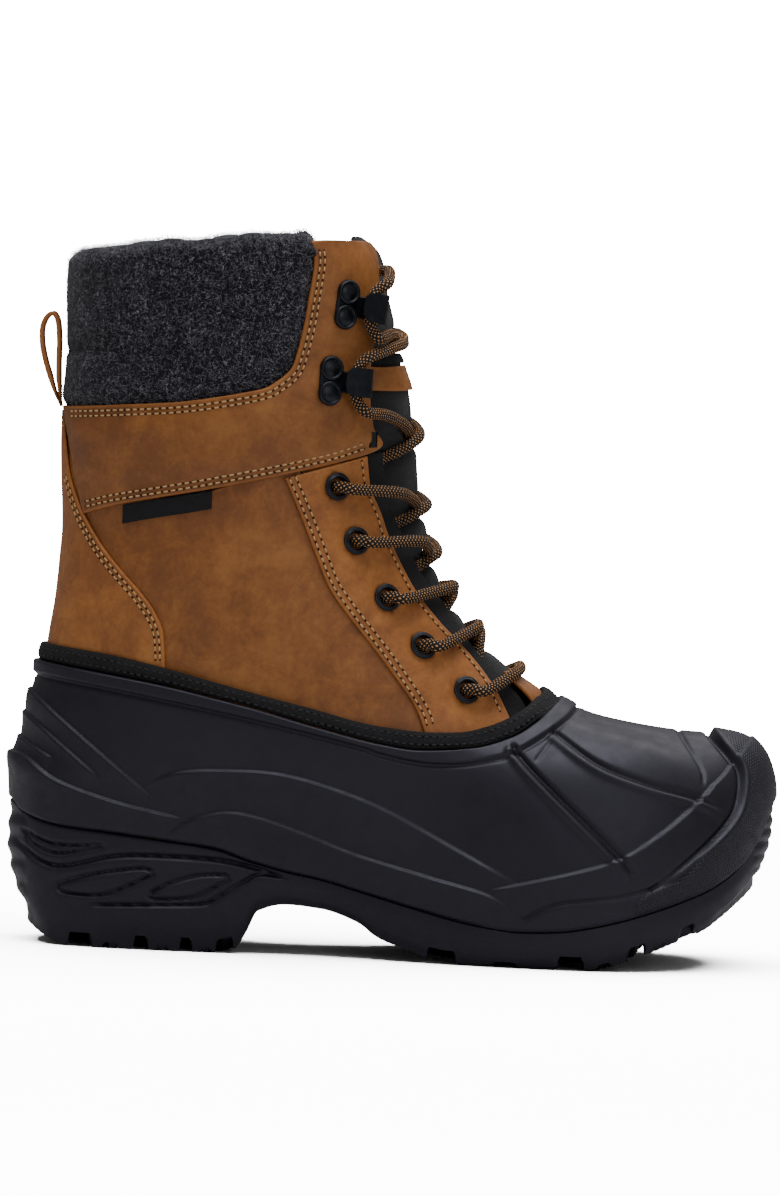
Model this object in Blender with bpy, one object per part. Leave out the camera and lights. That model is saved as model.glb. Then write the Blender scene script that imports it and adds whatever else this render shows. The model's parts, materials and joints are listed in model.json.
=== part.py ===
"""Right-foot insulated hunting boot, modelled piece by piece in metres.

Frame: +X points to the toe, +Z up, the lateral side faces -Y and the medial side +Y.
The sole stands on z = 0.  All tables are in millimetres and scaled when a mesh is made.
"""
import math

import bmesh
import bpy
from mathutils import Matrix, Vector

MM = 0.001
GAP = 0.3                  # clearance between touching pieces, mm

# driving dimensions, mm
LEATHER = 1.7              # thickness of one leather layer
BASE_OUT = -1.9            # outer face of the base leather, measured from the skin surface
BASE_IN = -3.6             # inner face of the base leather
OVER_IN = -1.6             # inner face of an overlaid panel
OVER_OUT = 0.0             # outer face of an overlaid panel
SHELL_WALL = 3.0           # rubber shell wall
LINING = 4.0               # insulating lining thickness
TONGUE = 5.0               # padded tongue thickness
LACE_D = 4.6               # lace diameter
EYELET_D = 11.4            # eyelet flange diameter
EYELET_BORE = 7.2          # eyelet bore
LUG_DEPTH = 5.5            # tread depth
LEATHER_TUCK = 4.5         # leather hidden inside the rubber shell

# side profile of the leather shaft: height, back x, front x, half width
SHAFT = [
    (78.0, -149.0, 100.0, 46.5),
    (88.0, -148.0, 87.0, 46.0),
    (98.0, -147.0, 75.0, 45.5),
    (105.0, -146.0, 65.0, 45.0),
    (110.0, -145.4, 59.5, 45.0),
    (117.8, -144.8, 47.5, 45.0),
    (123.6, -144.3, 40.4, 45.0),
    (130.2, -143.4, 33.2, 45.0),
    (139.3, -142.0, 25.5, 45.0),
    (148.0, -141.2, 19.5, 45.0),
    (156.3, -140.6, 15.1, 45.0),
    (170.0, -139.9, 11.3, 45.0),
    (179.2, -140.2, 8.9, 45.2),
    (193.7, -141.2, 5.8, 45.5),
    (206.3, -141.9, 5.1, 46.0),
    (218.4, -142.0, 2.4, 46.5),
    (231.7, -141.0, 0.3, 47.0),
    (241.3, -140.6, -3.0, 47.0),
    (254.3, -141.0, -5.5, 47.0),
    (268.7, -141.6, -9.0, 47.5),
    (283.0, -141.0, -12.0, 48.0),
    (297.0, -138.5, -17.4, 48.0),
    (304.0, -137.0, -20.0, 48.0),
]

# height and how much sharper (above 0) or blunter (below 0) the front of the section is
FRONT_SHAPE = [(85.0, 0.0), (105.0, -0.12), (115.0, -0.28), (130.0, -0.28), (145.0, -0.22),
               (160.0, -0.1), (179.0, 0.2), (192.0, 0.33), (206.0, 0.28), (220.0, 0.1),
               (240.0, -0.12), (268.0, -0.32), (300.0, -0.35)]

# curves in side view (x, z)
BIND_TOP = [(-144.6, 121.9), (-120.0, 119.7), (-93.9, 115.1), (-67.7, 108.9), (-36.4, 101.8),
            (-6.0, 95.0), (14.8, 93.2), (25.1, 93.4), (37.4, 96.0), (50.6, 102.0), (59.5, 110.0)]
BIND_BOTTOM = [(-144.7, 115.1), (-120.0, 112.5), (-94.8, 108.8), (-57.0, 100.5), (-30.0, 93.6),
               (-5.8, 88.0), (9.8, 86.0), (30.5, 86.9), (46.0, 91.2), (56.0, 97.2), (65.0, 104.8)]
CUFF_BOTTOM = [(-131.5, 176.1), (-114.6, 181.4), (-78.4, 189.1), (-35.2, 199.4), (-10.2, 207.7)]
CUFF_INNER = [(-141.9, 219.6), (-116.6, 221.7), (-89.5, 224.4), (-61.4, 230.0), (-53.9, 233.6),
              (-48.1, 238.7), (-45.8, 244.9), (-43.4, 255.7), (-41.7, 267.8), (-40.0, 282.1),
              (-41.6, 291.4)]
CUFF_FRONT = [(-10.2, 207.7), (-13.1, 216.1), (-15.0, 227.8), (-15.3, 238.4), (-14.9, 245.1),
              (-13.9, 253.9), (-12.6, 266.6), (-13.5, 278.8), (-14.2, 285.0), (-16.4, 290.3),
              (-19.6, 292.6), (-24.9, 293.4), (-41.0, 291.4)]
COUNTER_EDGE = [(-142.1, 218.6), (-140.6, 207.6), (-137.9, 192.1), (-132.3, 178.4),
                (-124.1, 165.5), (-114.3, 154.2), (-106.2, 146.0), (-99.6, 137.7),
                (-95.8, 129.3), (-94.1, 108.0)]
SEAM = [(-44.7, 197.6), (-36.2, 179.0), (-29.9, 164.3), (-23.7, 150.7), (-15.1, 139.2),
        (-7.5, 130.2), (2.8, 117.6), (14.0, 101.9), (19.6, 86.0)]
EYESTAY_FRONT = [(-15.5, 206.4), (-13.6, 192.9), (-8.3, 180.6), (-5.5, 173.0), (5.5, 152.3),
                 (10.2, 146.0), (17.9, 137.3), (25.5, 129.9), (36.0, 118.4), (41.3, 111.0),
                 (48.2, 98.0)]
STRIP_FRONT = [(-8.0, 206.7), (-6.9, 192.4), (-1.3, 178.8), (9.7, 158.1), (17.4, 148.6),
               (23.2, 140.5), (29.4, 132.0), (37.0, 123.6), (46.0, 115.2), (52.4, 108.4),
               (57.0, 101.0)]
EYELETS = [(28.7, 111.0), (10.2, 128.4), (-5.3, 147.4), (-18.7, 170.1), (-27.2, 191.9)]
HOOK_BASES = [((-31.6, 240.0), (-32.3, 229.5)), ((-26.1, 270.9), (-27.6, 260.7))]

# sole: split line between shell and outsole, underside of the lugs, floor of the shell
SPLIT = [(-160.0, 58.4), (-155.0, 57.0), (-151.5, 53.3), (-136.7, 49.0), (-115.0, 47.1),
         (-93.0, 44.9), (-71.4, 42.3), (-56.6, 37.6), (-42.2, 34.1), (-27.9, 31.5), (-9.4, 26.9),
         (12.8, 21.3), (34.5, 16.5), (53.7, 14.4), (70.0, 15.2), (82.0, 17.2), (96.0, 20.6),
         (110.9, 25.3), (122.0, 29.5), (132.1, 34.0), (142.8, 42.0), (150.0, 53.0),
         (154.5, 64.0), (158.0, 70.5)]
UNDERSIDE = [(-160.0, 15.0), (-148.0, 8.0), (-141.7, 4.0), (-134.0, 0.6), (-130.0, 0.0),
             (-70.0, 0.0), (-62.0, 1.5), (-57.2, 9.0), (-53.0, 17.5), (-41.7, 20.6),
             (-27.4, 19.5), (-12.6, 14.8), (-4.0, 9.0), (10.2, 4.0), (18.0, 1.0), (26.0, 0.0),
             (84.0, 0.0), (92.0, 2.0), (106.4, 7.0), (114.4, 10.4), (129.2, 16.6),
             (135.5, 21.0), (142.6, 26.5), (150.5, 33.0), (158.0, 42.0)]
FLOOR = [(-160.0, 25.0), (-100.0, 25.0), (-62.0, 26.0), (-50.0, 26.4), (-41.0, 26.0),
         (-12.0, 20.5), (13.0, 13.5), (34.0, 10.5), (53.0, 9.8), (90.0, 12.0), (110.0, 18.0),
         (132.0, 27.0), (150.0, 38.0), (160.0, 46.0)]
LUG_GAPS = [(-126.0, 5.0), (-92.0, 4.5), (22.2, 5.0), (76.0, 5.0)]

# sole outline: x, lateral half breadth, medial half breadth, x of the opening above it
OUTLINE = [
    (-156.5, 0.0, 0.0, -144.7),
    (-153.5, 13.0, 13.0, -141.8),
    (-143.0, 26.0, 26.0, -132.0),
    (-124.0, 34.5, 34.0, -114.0),
    (-95.0, 38.5, 37.0, -88.0),
    (-60.0, 39.0, 35.5, -56.0),
    (-25.0, 41.0, 35.0, -26.0),
    (12.0, 47.0, 40.0, 4.0),
    (50.0, 53.5, 49.0, 28.0),
    (84.0, 54.5, 54.0, 43.0),
    (112.0, 48.0, 53.5, 52.0),
    (134.0, 35.0, 47.0, 58.5),
    (150.0, 15.0, 33.0, 63.2),
    (156.8, -8.0, 8.0, 65.0),
]

# share of the way outwards and downwards from the opening to the split line, nine rows
WALL_HEEL = [(0.0, 0.0), (0.05, 0.14), (0.33, 0.28), (0.42, 0.42), (0.60, 0.56),
             (1.02, 0.69), (1.02, 0.80), (1.01, 0.90), (1.0, 1.0)]
WALL_SIDE = [(0.0, 0.0), (0.0, 0.12), (0.06, 0.25), (0.18, 0.38), (0.36, 0.52),
             (0.60, 0.66), (0.84, 0.80), (0.96, 0.90), (1.0, 1.0)]
WALL_BALL = [(0.0, 0.0), (0.24, 0.07), (0.48, 0.16), (0.70, 0.28), (0.88, 0.42),
             (1.01, 0.58), (1.06, 0.74), (1.04, 0.88), (1.0, 1.0)]
WALL_TOE_SIDE = [(0.0, 0.0), (0.20, 0.05), (0.42, 0.10), (0.62, 0.17), (0.79, 0.29),
                 (0.92, 0.44), (1.0, 0.62), (1.02, 0.82), (1.0, 1.0)]
WALL_TOE = [(0.0, 0.0), (0.15, 0.15), (0.36, 0.245), (0.56, 0.30), (0.72, 0.32),
            (0.86, 0.37), (0.94, 0.52), (0.985, 0.76), (1.0, 1.0)]


# ---------------------------------------------------------------- small maths

def blend_table(table, key, column=1):
    """Smooth value read from rows sorted by their first entry."""
    rows = table
    if key <= rows[0][0]:
        return rows[0][column]
    if key >= rows[-1][0]:
        return rows[-1][column]
    low = 0
    while rows[low + 1][0] < key:
        low += 1
    high = low + 1
    span = rows[high][0] - rows[low][0]
    step = (key - rows[low][0]) / span
    here = (rows[high][column] - rows[low][column]) / span
    before = here
    after = here
    if low > 0:
        width = rows[low][0] - rows[low - 1][0]
        slope = (rows[low][column] - rows[low - 1][column]) / width
        before = 0.0 if slope * here <= 0 else 2.0 * slope * here / (slope + here)
    if high < len(rows) - 1:
        width = rows[high + 1][0] - rows[high][0]
        slope = (rows[high + 1][column] - rows[high][column]) / width
        after = 0.0 if slope * here <= 0 else 2.0 * slope * here / (slope + here)
    s2 = step * step
    s3 = s2 * step
    return ((2 * s3 - 3 * s2 + 1) * rows[low][column] + (s3 - 2 * s2 + step) * span * before
            + (3 * s2 - 2 * s3) * rows[high][column] + (s3 - s2) * span * after)


def catmull(points, position):
    """Point on an open Catmull-Rom curve, position counted in points."""
    last = len(points) - 1
    base = min(max(int(math.floor(position)), 0), last - 1)
    t = position - base
    p1 = Vector(points[base])
    p2 = Vector(points[base + 1])
    p0 = Vector(points[base - 1]) if base > 0 else p1 * 2 - p2
    p3 = Vector(points[base + 2]) if base + 2 <= last else p2 * 2 - p1
    a = p1 * 2
    b = p2 - p0
    c = p0 * 2 - p1 * 5 + p2 * 4 - p3
    d = p1 * 3 - p0 - p2 * 3 + p3
    return (a + b * t + c * (t * t) + d * (t * t * t)) * 0.5


def even(points, count):
    """Count points evenly spaced along a smooth curve through the given ones."""
    fine = []
    steps = 10 * (len(points) - 1)
    for i in range(steps + 1):
        fine.append(catmull(points, i / 10.0))
    lengths = [0.0]
    for i in range(1, len(fine)):
        lengths.append(lengths[-1] + (fine[i] - fine[i - 1]).length)
    result = []
    j = 0
    for i in range(count):
        goal = lengths[-1] * i / (count - 1)
        while j < len(fine) - 2 and lengths[j + 1] < goal:
            j += 1
        room = max(lengths[j + 1] - lengths[j], 1e-9)
        result.append(fine[j].lerp(fine[j + 1], min(max((goal - lengths[j]) / room, 0.0), 1.0)))
    return result


def curve_z(curve, x):
    """Height of a side-view curve at x."""
    return blend_table(sorted(curve), x)


def curve_x(curve, z):
    """x of a side-view curve at a height."""
    return blend_table(sorted((p[1], p[0]) for p in curve), z)


# ---------------------------------------------------------------- leather skin surface

def shaft(z):
    return blend_table(SHAFT, z, 1), blend_table(SHAFT, z, 2), blend_table(SHAFT, z, 3)


def skin_point(u, z):
    """Point of the skin surface; u runs -1 (front) .. 0 (back) .. 1 (front), lateral below 0."""
    back, front, half = shaft(z)
    turn = abs(u)
    x = back + (front - back) * (1.0 - math.cos(math.pi * turn)) * 0.5
    fullness = 1.0 + blend_table(FRONT_SHAPE, z) * turn
    y = half * max(math.sin(math.pi * min(turn, 1.0)), 0.0) ** fullness
    return Vector((x, y if u > 0 else -y, z))


def skin_normal(u, z):
    """Outward direction of the skin surface."""
    turn = min(max(abs(u), 0.004), 0.985)
    side = 1.0 if u > 0 else -1.0
    ahead = skin_point(side * (turn + 0.004), z) - skin_point(side * (turn - 0.004), z)
    rise = skin_point(side * turn, z + 1.0) - skin_point(side * turn, z - 1.0)
    out = ahead.cross(rise) * -side
    out.normalize()
    if abs(u) > 0.985:
        out.y *= (1.0 - abs(u)) / 0.015
        out.normalize()
    elif abs(u) < 0.004:
        out.y = 0.0
        out.normalize()
    return out


def skin(u, z, lift=0.0):
    return skin_point(u, z) + skin_normal(u, z) * lift


def u_at(x, z, side):
    """Turn parameter of a side-view point."""
    back, front, half = shaft(z)
    share = min(max((x - back) / (front - back), 0.0), 1.0)
    return side * math.acos(1.0 - 2.0 * share) / math.pi


# ---------------------------------------------------------------- mesh building

def finish(mesh, name, material, smooth_angle=0.7):
    """Turn a bmesh in millimetres into a named object in metres."""
    bmesh.ops.recalc_face_normals(mesh, faces=mesh.faces)
    for vertex in mesh.verts:
        vertex.co = vertex.co * MM
    data = bpy.data.meshes.new(name)
    mesh.to_mesh(data)
    mesh.free()
    data.shade_smooth()
    data.set_sharp_from_angle(angle=smooth_angle)
    thing = bpy.data.objects.new(name, data)
    bpy.context.collection.objects.link(thing)
    data.materials.append(material)
    return thing


def thick_patch(name, material, outer, inner, closed=False):
    """Closed solid between two point grids of the same size (rows of columns)."""
    mesh = bmesh.new()
    rows = len(outer)
    columns = len(outer[0])
    top = [[mesh.verts.new(p) for p in row] for row in outer]
    low = [[mesh.verts.new(p) for p in row] for row in inner]
    spans = columns if closed else columns - 1
    for r in range(rows - 1):
        for c in range(spans):
            d = (c + 1) % columns
            mesh.faces.new((top[r][c], top[r][d], top[r + 1][d], top[r + 1][c]))
            mesh.faces.new((low[r][c], low[r + 1][c], low[r + 1][d], low[r][d]))
    for c in range(spans):
        d = (c + 1) % columns
        mesh.faces.new((top[0][d], top[0][c], low[0][c], low[0][d]))
        mesh.faces.new((top[-1][c], top[-1][d], low[-1][d], low[-1][c]))
    if not closed:
        for r in range(rows - 1):
            mesh.faces.new((top[r][0], top[r + 1][0], low[r + 1][0], low[r][0]))
            mesh.faces.new((top[r + 1][-1], top[r][-1], low[r][-1], low[r + 1][-1]))
    return finish(mesh, name, material)


def skin_patch(name, material, grid, inside, outside, bulge=0.0):
    """Panel on the skin surface; grid holds (u, z) pairs."""
    outer = []
    inner = []
    rows = len(grid)
    columns = len(grid[0])
    for r in range(rows):
        swell_row = 1.0 - (2.0 * r / (rows - 1) - 1.0) ** 4
        line_out = []
        line_in = []
        for c in range(columns):
            u, z = grid[r][c]
            swell = bulge * swell_row * (1.0 - (2.0 * c / (columns - 1) - 1.0) ** 8)
            line_out.append(skin(u, z, outside + swell))
            line_in.append(skin(u, z, inside))
        outer.append(line_out)
        inner.append(line_in)
    return thick_patch(name, material, outer, inner)


def between(first, second, rows, columns):
    """Rows of (x, z) from one side-view curve to another."""
    a = even([(p[0], 0.0, p[1]) for p in first], columns)
    b = even([(p[0], 0.0, p[1]) for p in second], columns)
    grid = []
    for r in range(rows):
        t = r / (rows - 1)
        grid.append([(a[c].x + (b[c].x - a[c].x) * t, a[c].z + (b[c].z - a[c].z) * t)
                     for c in range(columns)])
    return grid


def to_turn(grid, side):
    return [[(u_at(x, z, side), z) for x, z in row] for row in grid]


# ---------------------------------------------------------------- sole columns

def loop_value(k, side, column):
    """Outline value at knot position k on one side, smooth round the closed loop."""
    last = len(OUTLINE) - 1

    def knot(i, s):
        if i < 0:
            return knot(-i, -s)
        if i > last:
            return knot(2 * last - i, -s)
        row = OUTLINE[i]
        if column == 0:
            return row[0]
        if column == 3:
            return row[3]
        return -row[1] if s < 0 else row[2]

    base = min(int(math.floor(k)), last - 1)
    t = k - base
    p0 = knot(base - 1, side)
    p1 = knot(base, side)
    p2 = knot(base + 1, side)
    p3 = knot(base + 2, side)
    return 0.5 * (2 * p1 + (p2 - p0) * t + (2 * p0 - 5 * p1 + 4 * p2 - p3) * t * t
                  + (3 * p1 - p0 - 3 * p2 + p3) * t ** 3)


def knot_at(x):
    """Knot position whose outline x is the one wanted."""
    low = 0.0
    high = float(len(OUTLINE) - 1)
    for _ in range(40):
        middle = (low + high) / 2
        if loop_value(middle, -1, 0) < x:
            low = middle
        else:
            high = middle
    return (low + high) / 2


def column_knots():
    """Knot positions of the columns of one half, heel centre to toe centre."""
    stations = []
    for centre, half in LUG_GAPS:
        stations += [centre - half - 1.5, centre - half + 1.0, centre + half - 1.0,
                     centre + half + 1.5]
    stations = sorted(x for x in stations if -138.0 < x < 128.0)
    full = [-140.0]
    for x in stations + [130.0]:
        room = x - full[-1]
        pieces = max(int(math.ceil(room / 15.0)), 1)
        for i in range(1, pieces + 1):
            full.append(full[-1] + room / pieces)
    knots = [knot_at(x) for x in full]
    heel = [i * knots[0] / 5.0 for i in range(5)]
    toe_room = (len(OUTLINE) - 1) - knots[-1]
    toe = [knots[-1] + toe_room * i / 6.0 for i in range(1, 7)]
    full = heel + knots + toe
    if len(full) % 2 == 0:
        full.insert(1, full[1] * 0.5)
    return full


KNOTS = column_knots()
HALF = len(KNOTS) - 1


def ring_knots():
    """(knot, side) of every column round the sole: heel, lateral side, toe, medial side."""
    ring = [(k, -1) for k in KNOTS]
    ring += [(k, 1) for k in reversed(KNOTS[1:-1])]
    return ring


RING = ring_knots()


def wall_shares(k):
    """Nine outward and downward shares of the shell wall at a knot position."""
    stops = [(0.0, WALL_HEEL), (2.0, WALL_HEEL), (4.5, WALL_SIDE), (6.5, WALL_SIDE),
             (8.5, WALL_BALL), (10.5, WALL_TOE_SIDE), (13.0, WALL_TOE)]
    i = 0
    while i < len(stops) - 2 and k > stops[i + 1][0]:
        i += 1
    t = min(max((k - stops[i][0]) / (stops[i + 1][0] - stops[i][0]), 0.0), 1.0)
    t = t * t * (3 - 2 * t)
    return [(a[0] + (b[0] - a[0]) * t, a[1] + (b[1] - a[1]) * t)
            for a, b in zip(stops[i][1], stops[i + 1][1])]


def opening_point(k, side, lift):
    """Point of the shell's opening above a column."""
    x = min(max(loop_value(k, side, 3), BIND_BOTTOM[0][0]), BIND_BOTTOM[-1][0])
    z = curve_z(BIND_BOTTOM, x)
    return skin(u_at(x, z, side), z, lift)


def edge_point(k, side):
    """Point on the split line between shell and outsole."""
    x = loop_value(k, side, 0)
    return Vector((x, loop_value(k, side, 1), curve_z(SPLIT, x)))


def wall_rows():
    """Nine loops of the shell's outer face, opening down to split line."""
    rows = [[] for _ in range(9)]
    for k, side in RING:
        top = opening_point(k, side, SHELL_WALL + GAP + 0.5)
        foot = edge_point(k, side)
        for row, (out, down) in zip(rows, wall_shares(k)):
            row.append(Vector((top.x + (foot.x - top.x) * out, top.y + (foot.y - top.y) * out,
                               top.z + (foot.z - top.z) * down)))
    return rows


def plan_inset(loop, distance):
    """Loop moved inwards in plan by a distance."""
    count = len(loop)
    result = []
    for i in range(count):
        a = loop[i - 1]
        b = loop[(i + 1) % count]
        along = Vector((b.x - a.x, b.y - a.y, 0.0)).normalized()
        inward = Vector((-along.y, along.x, 0.0))
        centre = Vector((0.0, 0.0, 0.0))
        middle = Vector((min(max(loop[i].x, -110.0), 105.0), 3.0, 0.0))
        to_middle = middle - Vector((loop[i].x, loop[i].y, 0.0))
        if inward.dot(to_middle - centre) < 0:
            inward = -inward
        result.append(loop[i] + inward * distance)
    return result


def wall_inset(rows, distance):
    """Loops moved inwards along the wall's own surface normal."""
    count = len(rows[0])
    result = []
    for r in range(len(rows)):
        line = []
        for c in range(count):
            up = rows[max(r - 1, 0)][c]
            down = rows[min(r + 1, len(rows) - 1)][c]
            a = rows[r][c - 1]
            b = rows[r][(c + 1) % count]
            normal = (b - a).cross(up - down)
            normal.normalize()
            middle = Vector((min(max(rows[r][c].x, -110.0), 60.0), 3.0, 45.0))
            if normal.dot(middle - rows[r][c]) < 0:
                normal = -normal
            line.append(rows[r][c] + normal * distance)
        result.append(line)
    return result


def set_height(loop, table, raise_by=0.0):
    """Loop dropped on to a height that depends on x alone."""
    return [Vector((p.x, p.y, blend_table(table, p.x) + raise_by)) for p in loop]


def ladder(mesh, ring_verts, across, height, flip):
    """Close a loop of columns with rungs from the lateral to the medial side."""
    count = len(ring_verts)
    half = count // 2
    rungs = []
    for i in range(1, half):
        a = ring_verts[i]
        b = ring_verts[count - i]
        rung = [a]
        for j in range(1, across):
            p = a.co.lerp(b.co, j / across)
            p.z = height(p.x, p.y, j / across)
            rung.append(mesh.verts.new(p))
        rung.append(b)
        rungs.append(rung)

    def face(verts):
        mesh.faces.new(tuple(reversed(verts)) if flip else tuple(verts))

    for first, second in zip(rungs, rungs[1:]):
        for j in range(across):
            face((first[j], second[j], second[j + 1], first[j + 1]))
    for j in range(across):
        face((ring_verts[0], rungs[0][j], rungs[0][j + 1]))
        face((ring_verts[half], rungs[-1][j + 1], rungs[-1][j]))


def bowl(name, material, outer_rows, inner_rows, under, floor, across=4):
    """Closed bowl: outer loops from rim to underside, inner loops from rim to floor."""
    mesh = bmesh.new()
    outer = [[mesh.verts.new(p) for p in row] for row in outer_rows]
    inner = [[mesh.verts.new(p) for p in row] for row in inner_rows]
    count = len(outer[0])

    def band(upper, lower):
        for c in range(count):
            d = (c + 1) % count
            mesh.faces.new((upper[c], upper[d], lower[d], lower[c]))

    for upper, lower in zip(outer, outer[1:]):
        band(upper, lower)
    for upper, lower in zip(inner, inner[1:]):
        band(lower, upper)
    band(inner[0], outer[0])
    ladder(mesh, outer[-1], across, under, False)
    ladder(mesh, inner[-1], across if across < 6 else 2, floor, True)
    return finish(mesh, name, material)


def thin(loop):
    """Every second point of a loop."""
    return loop[::2]


def plate(name, material, loop, low, high, across=2):
    """Flat-sided plate that follows the sole's floor."""
    mesh = bmesh.new()
    top = [mesh.verts.new(Vector((p.x, p.y, high(p.x, p.y, 0.0)))) for p in loop]
    bottom = [mesh.verts.new(Vector((p.x, p.y, low(p.x, p.y, 0.0)))) for p in loop]
    count = len(loop)
    for c in range(count):
        d = (c + 1) % count
        mesh.faces.new((top[c], top[d], bottom[d], bottom[c]))
    ladder(mesh, top, across, high, True)
    ladder(mesh, bottom, across, low, False)
    return finish(mesh, name, material)


# ---------------------------------------------------------------- materials

def surface(name, colour, roughness, metallic=0.0):
    material = bpy.data.materials.new(name)
    material.use_nodes = True
    shader = material.node_tree.nodes["Principled BSDF"]
    shader.inputs["Base Color"].default_value = (*colour, 1.0)
    shader.inputs["Roughness"].default_value = roughness
    shader.inputs["Metallic"].default_value = metallic
    material.diffuse_color = (*colour, 1.0)
    return material


def tan_leather():
    return surface("tan_leather", (0.30, 0.13, 0.045), 0.5)


def black_rubber():
    return surface("black_rubber", (0.018, 0.018, 0.021), 0.45)


def black_web():
    return surface("black_webbing", (0.012, 0.012, 0.014), 0.75)


def charcoal_wool():
    return surface("charcoal_wool", (0.065, 0.065, 0.07), 0.95)


def black_metal():
    return surface("black_painted_metal", (0.012, 0.013, 0.016), 0.35, 0.6)


def black_mesh():
    return surface("black_woven_nylon", (0.012, 0.012, 0.013), 0.8)


def grey_felt():
    return surface("grey_felt", (0.12, 0.12, 0.125), 0.95)


def lace_braid():
    return surface("lace_braid", (0.03, 0.022, 0.018), 0.8)


def footbed_foam():
    return surface("footbed_foam", (0.10, 0.10, 0.105), 0.9)


def pale_board():
    return surface("fibre_board", (0.42, 0.33, 0.22), 0.8)


# ---------------------------------------------------------------- sole and shell

def in_gap(x):
    return any(abs(x - centre) < half for centre, half in LUG_GAPS)


def tread_height(x, y, share):
    """Height of the outsole's underside: lugs on a web, with a centre channel and cross bars."""
    low = curve_z(UNDERSIDE, x)
    if -60.0 < x < -2.0:
        return low
    raised = low + LUG_DEPTH
    edge = min(share, 1.0 - share)
    if 0.0 < edge < 0.001:
        return low
    if 0.3 < edge < 0.4:
        return raised
    if in_gap(x):
        return raised
    return low


def build_shell_and_sole():
    rubber = black_rubber()
    sole_rubber = black_rubber()
    rows = wall_rows()
    split = rows[-1]

    # outsole: cup with a lugged underside
    count = len(RING)
    side_rows = [[] for _ in range(4)]
    for c in range(count):
        k, side = RING[c]
        top = split[c]
        x = top.x
        low = curve_z(UNDERSIDE, x)
        drop = top.z - low
        heel = max(0.0, 1.0 - k / 2.2)
        toe = max(0.0, (k - 11.0) / 2.0)
        draw = [0.0, -0.2 - 0.6 * heel, 0.6 + 1.6 * heel + 0.6 * toe, 3.0 + 7.5 * heel + 4.0 * toe]
        down = [0.0, 0.35, 0.72, 1.0]
        for row, inset, share in zip(side_rows, draw, down):
            row.append((Vector((x, top.y, top.z - drop * share)), inset))
    outer = []
    for r in range(4):
        base = [pair[0] for pair in side_rows[r]]
        inward = plan_inset(split, 1.0)
        outer.append([Vector((p.x + (inward[c].x - split[c].x) * side_rows[r][c][1],
                              p.y + (inward[c].y - split[c].y) * side_rows[r][c][1], p.z))
                      for c, p in enumerate(base)])
    for c in range(count):
        p = outer[3][c]
        low = curve_z(UNDERSIDE, p.x)
        if in_gap(split[c].x) and not -60.0 < split[c].x < -2.0:
            low += LUG_DEPTH
            p.z = low
            outer[2][c].z = max(outer[2][c].z, low + 1.0)
        else:
            p.z = low

    rim = plan_inset(split, 2.2)
    foot = set_height(plan_inset(split, 3.2), FLOOR, -GAP)
    bowl("outsole", sole_rubber, outer, [rim, foot],
         tread_height, lambda x, y, s: blend_table(FLOOR, x) - GAP, across=9)

    # rubber shell: wall, step on to the outsole's rim, floor
    raised = [Vector((p.x, p.y, p.z + GAP)) for p in split]
    step = [Vector((p.x, p.y, p.z + GAP)) for p in plan_inset(split, 2.5)]
    under = set_height(plan_inset(split, 3.5), FLOOR)
    inner_wall = [wall_inset(rows, SHELL_WALL)[r] for r in (0, 1, 2, 4, 6, 7)]
    floor_loop = set_height(plan_inset(split, 6.6), FLOOR, SHELL_WALL)
    bowl("rubber_shell", rubber, rows[:8] + [raised, step, under],
         inner_wall + [floor_loop],
         lambda x, y, s: blend_table(FLOOR, x),
         lambda x, y, s: blend_table(FLOOR, x) + SHELL_WALL, across=2)

    # insulating sock inside the shell
    lining = grey_felt()
    out_wall = [thin(wall_inset(rows, SHELL_WALL + 1.2)[r]) for r in (2, 4, 6, 7)]
    in_wall = [thin(wall_inset(rows, SHELL_WALL + 1.2 + LINING)[r]) for r in (2, 4, 6, 7)]
    base = SHELL_WALL + 1.3 + 2.2 + 0.6
    out_floor = set_height(thin(plan_inset(split, 8.2)), FLOOR, base)
    in_floor = set_height(thin(plan_inset(split, 12.4)), FLOOR, base + LINING)
    bowl("foot_lining", lining, out_wall + [out_floor], in_wall + [in_floor],
         lambda x, y, s: blend_table(FLOOR, x) + base,
         lambda x, y, s: blend_table(FLOOR, x) + base + LINING)

    board_low = SHELL_WALL + 1.3
    plate("insole_board", pale_board(), thin(plan_inset(split, 9.5)),
          lambda x, y, s: blend_table(FLOOR, x) + board_low,
          lambda x, y, s: blend_table(FLOOR, x) + board_low + 2.2)
    bed_low = base + LINING + 0.6
    plate("footbed", footbed_foam(), thin(plan_inset(split, 14.4)),
          lambda x, y, s: blend_table(FLOOR, x) + bed_low,
          lambda x, y, s: blend_table(FLOOR, x) + bed_low + 4.5)
    return rows


def build_binding(material):
    """Ribbon round the shell's opening, open at the throat."""
    outer = []
    inner = []
    stations = []
    for side in (-1, 1):
        xs = [-144.4, -141.0, -134.0, -124.0, -110.0, -93.0, -75.0, -56.0, -38.0, -20.0, -6.0, 6.0,
              16.0, 25.0, 33.0, 40.0, 46.0, 51.0, 54.5, 57.0]
        stations.append([(x, side) for x in xs])
    path = list(reversed(stations[0])) + stations[1]
    grid = []
    for x, side in path:
        column = []
        low = curve_z(BIND_BOTTOM, x) + 0.9
        high = curve_z(BIND_TOP, x)
        for j in range(4):
            column.append((x, side, low + (high - low) * j / 3.0))
        grid.append(column)
    for j in range(4):
        lift = [3.2, 3.0, 2.6, 2.3][j]
        outer.append([skin(u_at(c[j][0], c[j][2], c[j][1]), c[j][2], lift) for c in grid])
        inner.append([skin(u_at(c[j][0], c[j][2], c[j][1]), c[j][2], 0.7) for c in grid])
    return thick_patch("shell_binding", material, outer, inner)


# ---------------------------------------------------------------- leather panels

def tucked(x, extra=0.0):
    return curve_z(BIND_BOTTOM, x) - LEATHER_TUCK + extra


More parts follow.
